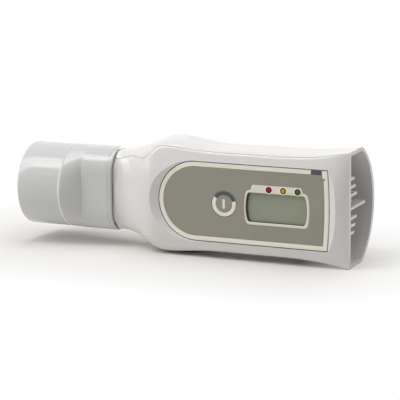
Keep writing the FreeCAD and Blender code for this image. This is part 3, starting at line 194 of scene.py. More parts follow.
class Finish(Nodes):
    """A material: one Principled shader with procedural nodes in front of it."""

    def __init__(self, name, **fixed):
        self.material = bpy.data.materials.new(name)
        self.material.use_nodes = True
        super().__init__(self.material.node_tree)
        self.shader = self.tree.nodes["Principled BSDF"]
        for socket, value in fixed.items():
            self.shader.inputs[socket.replace("_", " ")].default_value = value
        self.place = self.node("TexCoord", output="Object")

    def noise(self, scale, detail=2.0, roughness=0.5):
        """Noise around the piece; scale is in waves for each metre."""
        return self.node("TexNoise", Vector=self.place, Scale=scale, Detail=detail, Roughness=roughness)

    def away(self, centre):
        """Distance from a point, in metres."""
        return self.node("VectorMath", {"operation": "DISTANCE"}, "Value", {0: self.place, 1: tuple(centre)})

    def ramp(self, value, *stops):
        """Grey value that runs through stops of (position, level)."""
        return self.node("ValToRGB", {"stops": stops}, Fac=value)

    def blend(self, share, first, second):
        """Mix of two colours."""
        return self.node("Mix", {"data_type": "RGBA"}, 2, {0: share, 6: first, 7: second})

    def tones(self, share, rgba, first, second):
        """Mix of two tones of one colour, each given as a factor."""
        return self.blend(share, shade(rgba, first), shade(rgba, second))

    def part(self, axis):
        """One coordinate of the place."""
        return self.node("SeparateXYZ", output=axis, Vector=self.place)

    def bump(self, height, depth, strength=1.0, below=None):
        """Surface relief; depth is the real height of the relief in metres."""
        values = {"Height": height, "Distance": depth, "Strength": strength}
        if below is not None:
            values["Normal"] = below
        return self.node("Bump", **values)

    def glow(self, share, rgba):
        """Lay plain light of one colour over the surface; share says how much of it shows."""
        light = self.node("Emission", Color=rgba)
        surface = Term(self.tree, self.shader.outputs[0])
        mixed = self.node("MixShader", sockets={0: share, 1: surface, 2: light})
        connect(self.tree, self.tree.nodes["Material Output"].inputs["Surface"], mixed)

    def feed(self, **sockets):
        """Link terms to the shader; gives the finished material."""
        for socket, value in sockets.items():
            connect(self.tree, self.shader.inputs[socket.replace("_", " ")], value)
        return self.material


def shade(rgba, factor):
    """A colour made darker or lighter by a factor."""
    return (rgba[0] * factor, rgba[1] * factor, rgba[2] * factor, 1.0)


# Sizes of the patterns, in waves for each metre
MOULD_FLOW = 22.0
MOULD_WAVE = 24.0
MOULD_SPECK = 3200.0
FILM_CLOUD = 60.0
FILM_GLOSS = 900.0
FILM_SPECK = 5200.0
INK_LAYER = 3400.0
METAL_LINES = (400.0, 6000.0, 400.0)
METAL_STAIN = 300.0
RUBBER_BLOOM = 700.0
BOARD_TRACKS = 520.0
BOARD_WEAVE = 1500.0
WINDOW_WAVE = 140.0
DOT_SPECK = 3000.0
PAPER_FIBRE = 900.0

# Real heights of the surface relief, in metres
FINE_GRAIN = 0.0000015
COARSE_GRAIN = 0.00001
FILM_GRAIN = 0.000006
INK_GRAIN = 0.000004
METAL_GRAIN = 0.000003
RUBBER_GRAIN = 0.00002
TRACK_HEIGHT = 0.00003
WINDOW_RELIEF = 0.00001

PLASTIC_IOR = 1.5
RUBBER_IOR = 1.45
ACRYLIC_IOR = 1.49
PAPER_IOR = 1.4


def moulded(name, rgba, roughness, grain=FINE_GRAIN, bands=()):
    """Moulded plastic: faint flow marks in the colour, fine grain and uneven gloss.

    bands are places along X with their half widths and factors, for a painted highlight or painted shade
    along a line; with a pair of heights a band fades out between them.
    """
    finish = Finish(name, IOR=PLASTIC_IOR)
    flow = finish.noise(MOULD_FLOW)
    speck = finish.noise(MOULD_SPECK)
    mottle = finish.ramp(flow * 0.85 + speck * 0.15, (0.25, 0.0), (0.75, 1.0))
    base = finish.tones(mottle, rgba, 0.985, 1.012)
    for middle, half, factor, fade in bands:
        aside = finish.part(0) - middle
        share = finish.ramp(abs(aside) * (1 / half), (0.5, 1.0), (1.0, 0.0))
        if fade:
            low, high = fade
            height = (finish.part(2) - low) * (1 / (high - low))
            share = share * finish.ramp(height, (0.0, 1.0), (1.0, 0.1))
        base = finish.blend(share, base, shade(rgba, factor))
    gloss = speck * 0.03 + (roughness - 0.015)
    fine = finish.bump(speck, grain, 0.3)
    wave = finish.bump(finish.noise(MOULD_WAVE, 1.0), grain * 10, 0.4, fine)
    return finish.feed(Base_Color=base, Roughness=gloss, Normal=wave)


def film(name, rgba, roughness=0.42):
    """Printed film with a fine pearl grain."""
    finish = Finish(name, IOR=PLASTIC_IOR)
    speck = finish.noise(FILM_SPECK, roughness=0.7)
    cloud = finish.noise(FILM_CLOUD)
    grain = finish.ramp(speck * 0.75 + cloud * 0.25, (0.36, 0.0), (0.64, 1.0))
    base = finish.tones(grain, rgba, 0.93, 1.07)
    gloss = finish.noise(FILM_GLOSS) * 0.1 + (roughness - 0.05)
    return finish.feed(Base_Color=base, Roughness=gloss, Normal=finish.bump(speck, FILM_GRAIN, 0.5))


def ink(name, rgba):
    """Printed or inlaid mark with a slightly uneven layer."""
    finish = Finish(name, IOR=PLASTIC_IOR)
    layer = finish.noise(INK_LAYER)
    base = finish.tones(layer, rgba, 0.85, 1.12)
    return finish.feed(Base_Color=base, Roughness=layer * 0.1 + 0.35,
                       Normal=finish.bump(layer, INK_GRAIN, 0.4))


def metal(name, rgba, roughness=0.25):
    """Drawn or rolled metal with fine lines in one direction."""
    finish = Finish(name, Metallic=1.0)
    stretched = finish.node("Mapping", Vector=finish.place, Scale=METAL_LINES)
    lines = finish.node("TexNoise", Vector=stretched, Scale=1.0, Detail=3.0, Roughness=0.6)
    stain = finish.noise(METAL_STAIN)
    base = finish.tones(stain, rgba, 0.88, 1.05)
    return finish.feed(Base_Color=base, Roughness=lines * 0.2 + (roughness - 0.1),
                       Normal=finish.bump(lines, METAL_GRAIN, 0.4))


def rubber(name, rgba):
    """Matt rubber with a pale bloom."""
    finish = Finish(name, IOR=RUBBER_IOR)
    bloom = finish.noise(RUBBER_BLOOM, 4.0)
    base = finish.tones(bloom, rgba, 0.8, 1.25)
    return finish.feed(Base_Color=base, Roughness=bloom * 0.2 + 0.6,
                       Normal=finish.bump(bloom, RUBBER_GRAIN, 0.5))


def laminate(name, rgba, track_rgba):
    """Circuit board: solder mask with the tracks that show through it."""
    finish = Finish(name, IOR=PLASTIC_IOR, Coat_Weight=0.4, Coat_Roughness=0.15)
    upright = finish.node("Mapping", Vector=finish.place, Rotation=(math.pi / 2, 0.0, 0.0))
    tracks = finish.node("TexBrick", {"offset": 0.5}, Vector=upright, Scale=BOARD_TRACKS, Mortar_Size=0.03,
                         Color1=BLACK, Color2=BLACK, Mortar=WHITE)
    weave = finish.noise(BOARD_WEAVE)
    base = finish.blend(tracks * 0.6, shade(rgba, 0.8), track_rgba)
    return finish.feed(Base_Color=finish.blend(weave * 0.3, base, shade(rgba, 1.4)),
                       Roughness=weave * 0.1 + 0.3,
                       Normal=finish.bump(tracks + weave * 0.2, TRACK_HEIGHT, 0.6))


def tinted(name, rgba):
    """Tinted window plastic with the faint waves of a moulding; little of what lies behind shows."""
    finish = Finish(name, IOR=ACRYLIC_IOR)
    wave = finish.noise(WINDOW_WAVE, 1.0)
    base = finish.tones(wave, rgba, 0.97, 1.03)
    return finish.feed(Base_Color=base, Alpha=wave * 0.04 + 0.78, Roughness=wave * 0.04 + 0.12,
                       Normal=finish.bump(wave, WINDOW_RELIEF, 0.3))


# Colours that have no setting
BOARD_GREEN = (0.03, 0.16, 0.06, 1.0)
TRACK_GREEN = (0.16, 0.42, 0.2, 1.0)
CHIP_BLACK = (0.03, 0.03, 0.032, 1.0)
LINER_BLACK = (0.035, 0.038, 0.034, 1.0)
CERAMIC_BROWN = (0.42, 0.33, 0.24, 1.0)
BUZZER_BRASS = (0.72, 0.5, 0.2, 1.0)
BUSH_BRASS = (0.7, 0.48, 0.2, 1.0)
STEEL_GREY = (0.62, 0.62, 0.61, 1.0)
MAGNET_GREY = (0.3, 0.3, 0.31, 1.0)
COVER_GREY = (0.36, 0.36, 0.37, 1.0)


def dress(node, material):
    """Give a CAD node its material."""
    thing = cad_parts[node]
    if not thing.material_slots:
        thing.data.materials.append(material)
    for item in thing.material_slots:
        item.material = material


# Mesh building

# Angles in radians from which an edge stays sharp
SOFT_CREASE = 0.6
CREASE = 0.5

# A mitre is divided by no smaller cosine, and a corner with a wider half angle stays as it is
MITRE_LIMIT = 0.35
STRAIGHT = math.radians(89)


def piece(name, mesh_builder, material, body, replaced=(), smooth_angle=SOFT_CREASE):
    """Object from a bmesh that rides on a body, with its finish and the CAD nodes that it stands for."""
    mesh = bpy.data.meshes.new(name)
    bmesh.ops.recalc_face_normals(mesh_builder, faces=mesh_builder.faces)
    mesh_builder.to_mesh(mesh)
    mesh_builder.free()
    thing = bpy.data.objects.new(name, mesh)
    bpy.context.scene.collection.objects.link(thing)
    mesh.shade_smooth()
    mesh.set_sharp_from_angle(angle=smooth_angle)
    mesh.materials.append(material)
    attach(thing, body)
    if replaced:
        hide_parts(*replaced)
    return thing


def skin(mesh, loops, capped=False):
    """Quads between loops of equal length; the last loop joins the first, or caps close both."""
    rows = [[mesh.verts.new(point) for point in loop] for loop in loops]
    pairs = list(zip(rows, rows[1:])) + ([] if capped else [(rows[-1], rows[0])])
    for low, high in pairs:
        for number in range(len(low)):
            after = (number + 1) % len(low)
            mesh.faces.new((low[number], low[after], high[after], high[number]))
    if capped:
        mesh.faces.new(rows[0])
        mesh.faces.new(rows[-1])


def lay(outlines):
    """Loops of (x, z) points with their depths, as loops of places on the front of the meter."""
    return [[spot(x, depth, z) for x, z in loop] for loop, depth in outlines]


def offset(loop, distance):
    """Closed loop of (x, z) points moved outwards, with mitred corners; the loop runs counter-clockwise."""
    moved = []
    count = len(loop)
    for number, point in enumerate(loop):
        before = Vector(loop[number - 1])
        here = Vector(point)
        after = Vector(loop[(number + 1) % count])
        first = (here - before).normalized()
        second = (after - here).normalized()
        normals = Vector((first.y, -first.x)), Vector((second.y, -second.x))
        half = (normals[0] + normals[1]).normalized()
        moved.append(here + half * (distance / max(half.dot(normals[0]), MITRE_LIMIT)))
    return moved


def rounded(corners, steps=6):
    """Closed counter-clockwise loop through (x, z, radius) corners."""
    loop = []
    count = len(corners)
    for number, (x, z, radius) in enumerate(corners):
        here = Vector((x, z))
        before = Vector(corners[number - 1][:2])
        after = Vector(corners[(number + 1) % count][:2])
        to_before = (before - here).normalized()
        to_after = (after - here).normalized()
        half_angle = to_before.angle(to_after) / 2
        if radius <= 0 or half_angle > STRAIGHT:
            loop.append(here)
            continue
        cut = radius / math.tan(half_angle)
        centre = here + (to_before + to_after).normalized() * (radius / math.sin(half_angle))
        start = here + to_before * cut - centre
        end = here + to_after * cut - centre
        sweep = start.angle_signed(end)
        for step in range(steps + 1):
            turn = -sweep * step / steps
            loop.append(centre + Matrix.Rotation(turn, 2) @ start)
    return loop


def button(name, loop, profile, material, body, replaced=()):
    """Capped sweep of a profile of (outward, depth) pairs along an (x, z) loop on the front of the meter."""
    mesh = bmesh.new()
    skin(mesh, lay((offset(loop, outward), depth) for outward, depth in profile), capped=True)
    return piece(name, mesh, material, body, replaced)


def by_angle(loop, centre, count=300):
    """The loop sampled at even angles around a centre that sees all of it."""
    middle = Vector(centre)
    turns = [math.atan2(point[1] - middle.y, point[0] - middle.x) for point in loop]
    points = []
    for number in range(count):
        turn = 2 * math.pi * number / count - math.pi
        ray = Vector((math.cos(turn), math.sin(turn)))
        for index, start in enumerate(loop):
            after = (index + 1) % len(loop)
            gap = (turns[after] - turns[index]) % (2 * math.pi)
            lead = (turn - turns[index]) % (2 * math.pi)
            if lead > gap or gap > math.pi:
                continue
            first = Vector(start) - middle
            edge = Vector(loop[after]) - Vector(start)
            cross = ray.x * edge.y - ray.y * edge.x
            reach = (first.x * edge.y - first.y * edge.x) / cross
            points.append(middle + ray * reach)
            break
    return points


def circle(x, z, radius, count=64):
    """Closed loop around a centre."""
    return [Vector((x + radius * math.cos(turn), z + radius * math.sin(turn)))
            for turn in (2 * math.pi * number / count for number in range(count))]


def low_profile(top, bottom, edge, steps=3):
    """Profile of a low mark: flat top, rounded edge, straight side; outward is measured from the edge."""
    profile = []
    for step in range(steps + 1):
        turn = math.pi / 2 * step / steps
        profile.append((-edge + edge * math.sin(turn), top + edge * (1 - math.cos(turn))))
    profile.append((0.0, bottom))
    return profile


# Sizes and places of the label, the display, the dots and the key, in the construction frame

LABEL_CENTRE = -64.5
LABEL_HALF = 16.35
LABEL_END = -7.2
LABEL_BOW = 167.0
LABEL_GAP = 0.35
# Dark sheet in the gap around the label, which is painted shade: its fit to the sides of the gap and its
# depth
GAP_SHADE_FIT = 0.03
GAP_SHADE_DEPTH = 0.3
FRAME_WIDTH = 1.85
FILM_DEPTH = 0.5
FRAME_DOT = (-9.5, 12.35, 0.33)
DISPLAY_X = -29.5
WINDOW_HALF = 11.9
WINDOW_BOW = 0.95
WINDOW_TOP = 5.2
WINDOW_BOTTOM = -6.7
BEZEL_WIDTH = 1.1
BEZEL_CORNER = 2.0
BEZEL_MORE = 0.4
DISPLAY_MIDDLE = (DISPLAY_X, (WINDOW_TOP + WINDOW_BOTTOM) / 2)
WINDOW_CORNER = 1.2
WINDOW_FRONT = 1.0
WINDOW_FIT = 0.05
WINDOW_EDGE = 0.1
LINER_FIT = 0.02
LINER_WALL = 0.14
KEY_X = -52.0
KEY_Z = -0.25
DOT_X = -32.8
DOT_STEP = 6.1
DOT_Z = 6.75
HALO_WIDTH = 0.36

# Dome of a dot: depth of its middle, its fall to the edge and the shares of the radius that have a loop
DOT_TOP = -0.14
DOT_FALL = 0.09
DOT_SHARES = (0.15, 0.4, 0.6, 0.8, 0.93, 1.0)

# Gap in the key's ring, in degrees
GAP_START = 16.0
GAP_END = 147.0

# Key cap: insets of the loops on its flat top as shares of the radius, rounding of its edge, and the
# outward reach and depth of its wall, flange and stem
KEY_TOP = (0.95, 0.6, 0.3)
KEY_EDGE = 0.12
KEY_UNDER = 2.16
KEY_FLANGE = 1.0
KEY_FLANGE_END = 2.76
KEY_STEM = -3.7
KEY_STEM_END = 4.24

# Low marks as (top, bottom, rounding)
INLAID = (-0.05, 0.1, 0.04)
FLUSH = (-0.02, 0.1, 0.04)
PRINTED = (-0.05, 0.02, 0.03)
HALO = (-0.03, 0.0, 0.02)

# Depth of the liner's loops: under the bezel, its lip, its end, and the step at the window wall
LINER_DEPTHS = (0.25, 0.3, 0.95, 0.49)

# Corners of outlines as (x, z, radius), counter-clockwise
TAB = ((-41.7, -5.0, 0.0), (-17.3, -5.0, 0.0), (-17.3, 4.1, 0.0), (-19.1, 8.5, 0.9),
       (-39.9, 8.5, 0.9), (-41.7, 4.1, 0.0))
INLAY = ((-15.1, 14.2, 0.1), (-10.5, 14.2, 0.1), (-10.5, 15.95, 0.1), (-15.1, 15.95, 0.1))
GUSSET = ((-10.6, 14.1, 0.1), (-9.75, 12.3, 0.1), (-9.5, 14.1, 0.1))
KEY_BAR = ((-52.68, -2.25, 0.42), (-51.62, -2.25, 0.42), (-51.62, 1.7, 0.42), (-52.68, 1.7, 0.42))

# Ribs on the battery door; the section is (across, up) from the root at 0 to the crest at 1
GRIP_RIBS = 5
GRIP_START = 2.4
GRIP_STEP = 1.5
GRIP_STEPS = 24
GRIP_HALF = 5.5
GRIP_RISE = 0.45
GRIP_WIDTH = 0.42
GRIP_ROOT = 0.1
GRIP_TIP = 0.25
GRIP_CLEAR = 10.0
RIB_SECTION = ((-1.0, 0.0), (-0.85, 0.5), (-0.5, 0.88), (0.0, 1.0), (0.5, 0.88), (0.85, 0.5),
               (1.0, 0.0))

# Sizes and places of the mouthpiece
TUBE_RADIUS = 17.25
TUBE_AXIS = 13.4
MOUTH_END = -143.95
RIM = -124.4
COLLAR_START = -117.2
COLLAR_END = -103.3
COLLAR_HALF_DEPTH = 10.95
COLLAR_CORNER = 9.5
TUBE_WALL = 2.0
COLLAR_WALL = 1.6
BORE_STOP = 0.55
BORE_LEAD = 1.5
COLLAR_EDGE = 0.2
COLLAR_LEAD = 0.5
END_ROUND = 0.8
TUBE_STRAIGHT = 6.0

# Bead at the rim as (x from the rim, inset); the crest is 0.25 mm before the rim
BEAD = ((-3.0, 0.08), (-0.55, 0.1), (-0.45, 0.04), (-0.25, 0.0), (-0.08, 0.04), (0.0, 0.15))
BEAD_CREST = -0.25

# Slope from the tube to the oval collar: shares of its length, and the power that rounds it
SLOPE_SHARES = (0.04, 0.1, 0.2, 0.3, 0.4, 0.5, 0.6, 0.7, 0.8, 0.9, 1.0)
SLOPE_POWER = 1.3

# Collar as (x from its end, inset): a flat, a fine line around it and the rounded end
COLLAR_TAIL = ((-2.1, 0.0), (-1.92, 0.0), (-1.84, 0.14), (-1.66, 0.14), (-1.58, 0.03), (-0.9, 0.03),
               (-0.6, 0.08), (-0.35, 0.2), (-0.15, 0.4), (0.0, 0.75))

# Bands of colour as (half width in mm, factor): a painted highlight along the bead, which fades out upwards,
# and painted shade in the joint at the collar's end
BEAD_HIGHLIGHT_BAND = (0.38, 1.45)
BEAD_HIGHLIGHT_HEIGHTS = (3.0, 13.0)
JOINT_SHADE_BAND = (0.1, 0.4)


def tube_ring(x, share, inset, steps=14):
    """One ring of the mouthpiece: share 0 is the circle and 1 the oval, both moved in by inset."""
    half_width = TUBE_RADIUS - inset
    corner = COLLAR_CORNER - inset
    flat_width = half_width - corner
    flat_depth = COLLAR_HALF_DEPTH - inset - corner
    signs = ((1, 1), (-1, 1), (-1, -1), (1, -1))

    def bend(quarter, part):
        turn = math.pi / 2 * (quarter + part)
        centre = Vector((signs[quarter][0] * flat_depth, signs[quarter][1] * flat_width))
        return centre + corner * Vector((math.cos(turn), math.sin(turn)))

    over = math.atan2(math.sqrt(half_width ** 2 - flat_depth ** 2), flat_depth)
    beside = math.atan2(flat_width, math.sqrt(half_width ** 2 - flat_width ** 2))
    ends = (-beside, beside, over, math.pi - over, math.pi - beside, math.pi + beside, math.pi + over,
            2 * math.pi - over, 2 * math.pi - beside)
    ring = []
    for number, (start, end) in enumerate(zip(ends, ends[1:])):
        quarter = number // 2
        for step in range(steps):
            part = step / steps
            turn = start + (end - start) * part
            round_point = half_width * Vector((math.cos(turn), math.sin(turn)))
            if number % 2:
                oval_point = bend(quarter, part)
            else:
                oval_point = bend(quarter - 1, 1.0).lerp(bend(quarter, 0.0), part)
            point = round_point.lerp(oval_point, share)
            ring.append(spot(x, TUBE_AXIS + point.x, point.y))
    return ring


def mouth_round(wall, steps=4):
    """Quarter round at the mouth end, outside for wall 0 and else inside a wall of that thickness."""
    rings = []
    for step in range(steps + 1):
        turn = math.pi / 2 * step / steps
        inset = END_ROUND * (1 - math.cos(turn))
        rings.append((MOUTH_END + END_ROUND * (1 - math.sin(turn)), 0.0, wall - inset if wall else inset))
    return rings


def mouthpiece_rings():
    """Rings of the mouthpiece as (x, share, inset), along the outside and back along the inside."""
    outside = mouth_round(0.0)[::-1] + [(MOUTH_END + TUBE_STRAIGHT, 0.0, 0.0)]
    outside += [(RIM + along, 0.0, inset) for along, inset in BEAD]
    outside += [(RIM + (COLLAR_START - RIM) * share, share ** SLOPE_POWER, 0.0) for share in SLOPE_SHARES]
    outside += [(COLLAR_START + COLLAR_LEAD, 1.0, 0.0)]
    outside += [(COLLAR_END + along, 1.0, inset) for along, inset in COLLAR_TAIL]
    inside = [(COLLAR_END, 1.0, COLLAR_WALL - COLLAR_EDGE), (COLLAR_END - COLLAR_EDGE, 1.0, COLLAR_WALL),
              (COLLAR_START, 1.0, COLLAR_WALL), (RIM - BORE_STOP, 0.0, TUBE_WALL),
              (RIM - BORE_LEAD, 0.0, TUBE_WALL), (MOUTH_END + TUBE_STRAIGHT, 0.0, TUBE_WALL)]
    return outside + inside + mouth_round(TUBE_WALL)


def round_over(edge, steps=4):
    """Quarter round from the flat top to the side of an outline's own edge, as (outward, depth)."""
    return [(-edge * (1 - math.sin(turn)), edge * (1 - math.cos(turn)))
            for turn in (math.pi / 2 * step / steps for step in range(steps + 1))]


def sector(x, z, inner, outer, start, end, steps=60):
    """Closed loop around a part of a flat ring."""
    turns = [start + (end - start) * step / steps for step in range(steps + 1)]
    way = [(outer, turn) for turn in turns] + [(inner, turn) for turn in reversed(turns)]
    return [Vector((x + radius * math.cos(turn), z + radius * math.sin(turn))) for radius, turn in way]


def bullet(shrink, steps=40):
    """Outline of the label, moved in by shrink, counter-clockwise from the lower outlet corner."""
    half = LABEL_HALF - shrink
    centre = LABEL_END - shrink - LABEL_BOW
    corner = centre + math.sqrt(LABEL_BOW ** 2 - half ** 2)
    loop = []
    turn = math.asin(half / LABEL_BOW)
    for step in range(steps):
        angle = -turn + 2 * turn * step / steps
        loop.append(Vector((centre + LABEL_BOW * math.cos(angle), LABEL_BOW * math.sin(angle))))
    for step in range(steps):
        loop.append(Vector((corner + (LABEL_CENTRE - corner) * step / steps, half)))
    for step in range(2 * steps):
        angle = math.pi / 2 + math.pi * step / (2 * steps)
        loop.append(Vector((LABEL_CENTRE + half * math.cos(angle), half * math.sin(angle))))
    for step in range(steps):
        loop.append(Vector((LABEL_CENTRE + (corner - LABEL_CENTRE) * step / steps, -half)))
    return loop


def display_loop(grow, corner, further=0.0, steps=10):
    """Outline of the display opening with bowed ends, counter-clockwise; further is added on the left."""
    half = WINDOW_HALF + grow
    top = WINDOW_TOP + grow
    bottom = WINDOW_BOTTOM - grow
    middle = (top + bottom) / 2
    rise = (top - bottom) / 2
    corners = []
    for side in (1, -1):
        low, high = (bottom, top) if side > 0 else (top, bottom)
        if side < 0:
            half += further
        corners.append((DISPLAY_X + side * half, low, corner))
        for step in range(1, steps):
            z = low + (high - low) * step / steps
            bow = WINDOW_BOW * (1 - ((z - middle) / rise) ** 2)
            corners.append((DISPLAY_X + side * (half + bow), z, 0.0))
        corners.append((DISPLAY_X + side * half, high, corner))
    return rounded(corners)


# Operators, one for each piece or group of pieces

class MeterOperator:
    """What the operators share: the settings."""
    bl_options = {"REGISTER"}

    @property
    def colours(self):
        return bpy.context.scene.meter_colours

    def size(self, name):
        """A size from the settings, in millimetres."""
        return getattr(bpy.context.scene.meter_sizes, name) / MM


class METER_OT_housing(MeterOperator, bpy.types.Operator):
    """Give both shells and the battery door their glossy plastic"""
    bl_idname = "meter.housing"
    bl_label = "Housing"

    def execute(self, context):
        plastic = moulded("shell plastic", self.colours.shell, roughness=0.14)
        for node in ("front_shell", "rear_shell", "battery_door"):
            dress(node, plastic)
        return {"FINISHED"}


class METER_OT_door_grip(MeterOperator, bpy.types.Operator):
    """Build the fine ribs that the thumb pushes on the battery door"""
    bl_idname = "meter.door_grip"
    bl_label = "Door grip"

    def execute(self, context):
        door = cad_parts["battery_door"]
        low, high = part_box("battery_door")
        mesh = bmesh.new()
        for number in range(GRIP_RIBS):
            x = low.x + (GRIP_START + GRIP_STEP * number) * MM
            rows = []
            for step in range(GRIP_STEPS + 1):
                share = 2 * step / GRIP_STEPS - 1
                above = Vector((x, high.y + GRIP_CLEAR * MM, (low.z + high.z) / 2 + share * GRIP_HALF * MM))
                found, place, _, _ = door.ray_cast(above, Vector((0.0, -1.0, 0.0)))
                if not found:
                    raise RuntimeError("the grip misses the battery door")
                rise = GRIP_ROOT + GRIP_RISE * math.sqrt(1 - share ** 4)
                width = GRIP_WIDTH * (GRIP_TIP + (1 - GRIP_TIP) * math.sqrt(1 - share ** 6))
                rows.append([place + Vector((width * across, rise * up - GRIP_ROOT, 0.0)) * MM
                             for across, up in RIB_SECTION])
            skin(mesh, rows, capped=True)
        piece("door_grip", mesh, door.material_slots[0].material, "battery_door")
        return {"FINISHED"}


class METER_OT_mouthpiece(MeterOperator, bpy.types.Operator):
    """Build the round tube that turns into the flat oval collar"""
    bl_idname = "meter.mouthpiece"
    bl_label = "Mouthpiece"

    def execute(self, context):
        mesh = bmesh.new()
        skin(mesh, [tube_ring(*ring) for ring in mouthpiece_rings()])
        # The bead band is a painted highlight: lighter along the bead and fading out upwards
        low, high = [spot(RIM + BEAD_CREST, 0.0, height) for height in BEAD_HIGHLIGHT_HEIGHTS]
        bands = ((low.x, BEAD_HIGHLIGHT_BAND[0] * MM, BEAD_HIGHLIGHT_BAND[1], (low.z, high.z)),
                 # The joint band is painted shade: darker where the collar's end meets the neck
                 (spot(COLLAR_END, 0.0, 0.0).x, JOINT_SHADE_BAND[0] * MM, JOINT_SHADE_BAND[1], None))
        plastic = moulded("mouthpiece plastic", self.colours.mouth, roughness=0.13, bands=bands)
        piece("mouthpiece_body", mesh, plastic, "mouthpiece", ("mouthpiece",),
              smooth_angle=CREASE)
        return {"FINISHED"}


class METER_OT_label(MeterOperator, bpy.types.Operator):
    """Finish the label and build its frame with the marks on it and a dark sheet that paints the shade in
    the gap
    """
    bl_idname = "meter.label"
    bl_label = "Label"

    def execute(self, context):
        dress("label_overlay", film("label film", self.colours.label))
        trim = moulded("trim plastic", self.colours.trim, roughness=0.36)
        top = round_over(self.size("edge"))
        profile = [(-FRAME_WIDTH, FILM_DEPTH)]
        profile += [(-FRAME_WIDTH - outward, depth) for outward, depth in reversed(top)]
        profile += top + [(0.0, FILM_DEPTH)]
        surround = bmesh.new()
        skin(surround, lay((bullet(LABEL_GAP - outward), depth) for outward, depth in profile))
        piece("label_surround", surround, trim, "housing", ("label_frame",))
        # A dark sheet in the gap around the label paints the shade of the gap; it takes the colour of the
        # dark marks
        wide, narrow = GAP_SHADE_FIT, LABEL_GAP - GAP_SHADE_FIT
        section = ((wide, GAP_SHADE_DEPTH), (narrow, GAP_SHADE_DEPTH), (narrow, FILM_DEPTH), (wide, FILM_DEPTH))
        gap_shade = bmesh.new()
        skin(gap_shade, lay((bullet(shrink), depth) for shrink, depth in section))
        piece("label_bed", gap_shade, rubber("bed rubber", self.colours.mark), "housing")
        dark = ink("inlay", self.colours.mark)
        button("frame_inlay", rounded(INLAY), low_profile(*INLAID), dark, "housing")
        button("frame_dot", circle(*FRAME_DOT, 24), low_profile(*INLAID), dark, "housing")
        button("frame_gusset", rounded(GUSSET), low_profile(*FLUSH), trim, "housing")
        return {"FINISHED"}


class METER_OT_display(MeterOperator, bpy.types.Operator):
    """Build the window, the bezel, the liner between them and the zone dots, and finish the display"""
    bl_idname = "meter.display"
    bl_label = "Display"

    def execute(self, context):
        self.window()
        dress("display_glass", film("display layer", self.colours.display, roughness=0.3))
        self.bezel()
        self.liner()
        halo_ink = ink("halo print", shade(self.colours.trim, 1.1))
        for number, zone in enumerate(("low", "middle", "high")):
            self.dot(zone, DOT_X + DOT_STEP * number, halo_ink)
        return {"FINISHED"}

    def window(self):
        """Stepped window: its flange lies behind the wall and its raised middle fills the opening."""
        low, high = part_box("display_window")
        corners = [Vector(((x - OUTLET_X) / MM, (z - MIDDLE_Z) / MM)) for x, z in
                   ((low.x, low.z), (high.x, low.z), (high.x, high.z), (low.x, high.z))]
        front, back = (low.y - LABEL_Y) / MM, (high.y - LABEL_Y) / MM
        flange = by_angle(corners, DISPLAY_MIDDLE)
        raised = by_angle(display_loop(-WINDOW_FIT, WINDOW_CORNER), DISPLAY_MIDDLE)
        mesh = bmesh.new()
        skin(mesh, lay(((flange, back), (flange, front), (raised, front),
                        (raised, WINDOW_FRONT + WINDOW_EDGE),
                        (offset(raised, -WINDOW_EDGE), WINDOW_FRONT))), capped=True)
        piece("window_lens", mesh, tinted("window plastic", self.colours.display), "housing",
              ("display_window",), smooth_angle=CREASE)

    def bezel(self):
        """Bezel with its tab: the outline is the further of the two, seen from the middle of the display."""
        middle = Vector(DISPLAY_MIDDLE)
        body = by_angle(display_loop(BEZEL_WIDTH, BEZEL_CORNER), middle)
        tab = by_angle(rounded(TAB), middle)
        outside = [max(pair, key=lambda point: (point - middle).length) for pair in zip(body, tab)]
        inside = by_angle(display_loop(0.0, WINDOW_CORNER, BEZEL_MORE), middle)
        top = round_over(self.size("edge"))
        outlines = [(offset(outside, outward), depth) for outward, depth in reversed(top)]
        outlines += [(offset(inside, -outward), depth) for outward, depth in top]
        outlines += [(inside, FILM_DEPTH), (outside, FILM_DEPTH)]
        mesh = bmesh.new()
        skin(mesh, lay(outlines))
        plastic = moulded("bezel plastic", shade(self.colours.trim, 0.88), roughness=0.33)
        piece("display_surround", mesh, plastic, "housing", ("display_bezel",))

    def liner(self):
        """Dark liner that closes the gap between the bezel and the window."""
        under, beside, inner = [
            by_angle(display_loop(grow, WINDOW_CORNER, further), DISPLAY_MIDDLE)
            for grow, further in ((-LINER_FIT, BEZEL_MORE), (-LINER_FIT, 0.0), (-LINER_WALL, 0.0))]
        start, lip, end, step = LINER_DEPTHS
        mesh = bmesh.new()
        skin(mesh, lay(((under, start), (inner, lip), (inner, end), (beside, end), (beside, step),
                        (under, step))))
        piece("display_liner", mesh, rubber("liner rubber", LINER_BLACK), "housing")

    def dot(self, zone, x, halo_ink):
        """Domed dot of one zone with its light ring; its colour carries painted shade, lighter in the middle
        and darker towards its edge.
        """
        radius = self.size("dot_radius")
        rgba = getattr(self.colours, f"{zone}_zone")
        button(f"zone_halo_{zone}", circle(x, DOT_Z, radius + HALO_WIDTH), low_profile(*HALO), halo_ink,
               "housing")
        dome = [(-radius * (1 - share), DOT_TOP + DOT_FALL * share ** 2) for share in DOT_SHARES]
        finish = Finish(f"{zone} zone ink", IOR=PLASTIC_IOR, Specular_IOR_Level=0.3)
        # Painted shade on the dome: the colour goes from lighter in the middle to much darker at the edge
        rim = finish.ramp(finish.away(spot(x, 0.0, DOT_Z)) * (1 / (radius * MM)), (0.3, 0.0), (0.85, 1.0))
        domed = finish.feed(Base_Color=finish.tones(rim, rgba, 1.3, 0.25),
                            Roughness=finish.noise(DOT_SPECK) * 0.1 + 0.25)
        button(f"zone_dot_{zone}", circle(x, DOT_Z, radius), dome + [(0.0, 0.0)], domed, "housing")


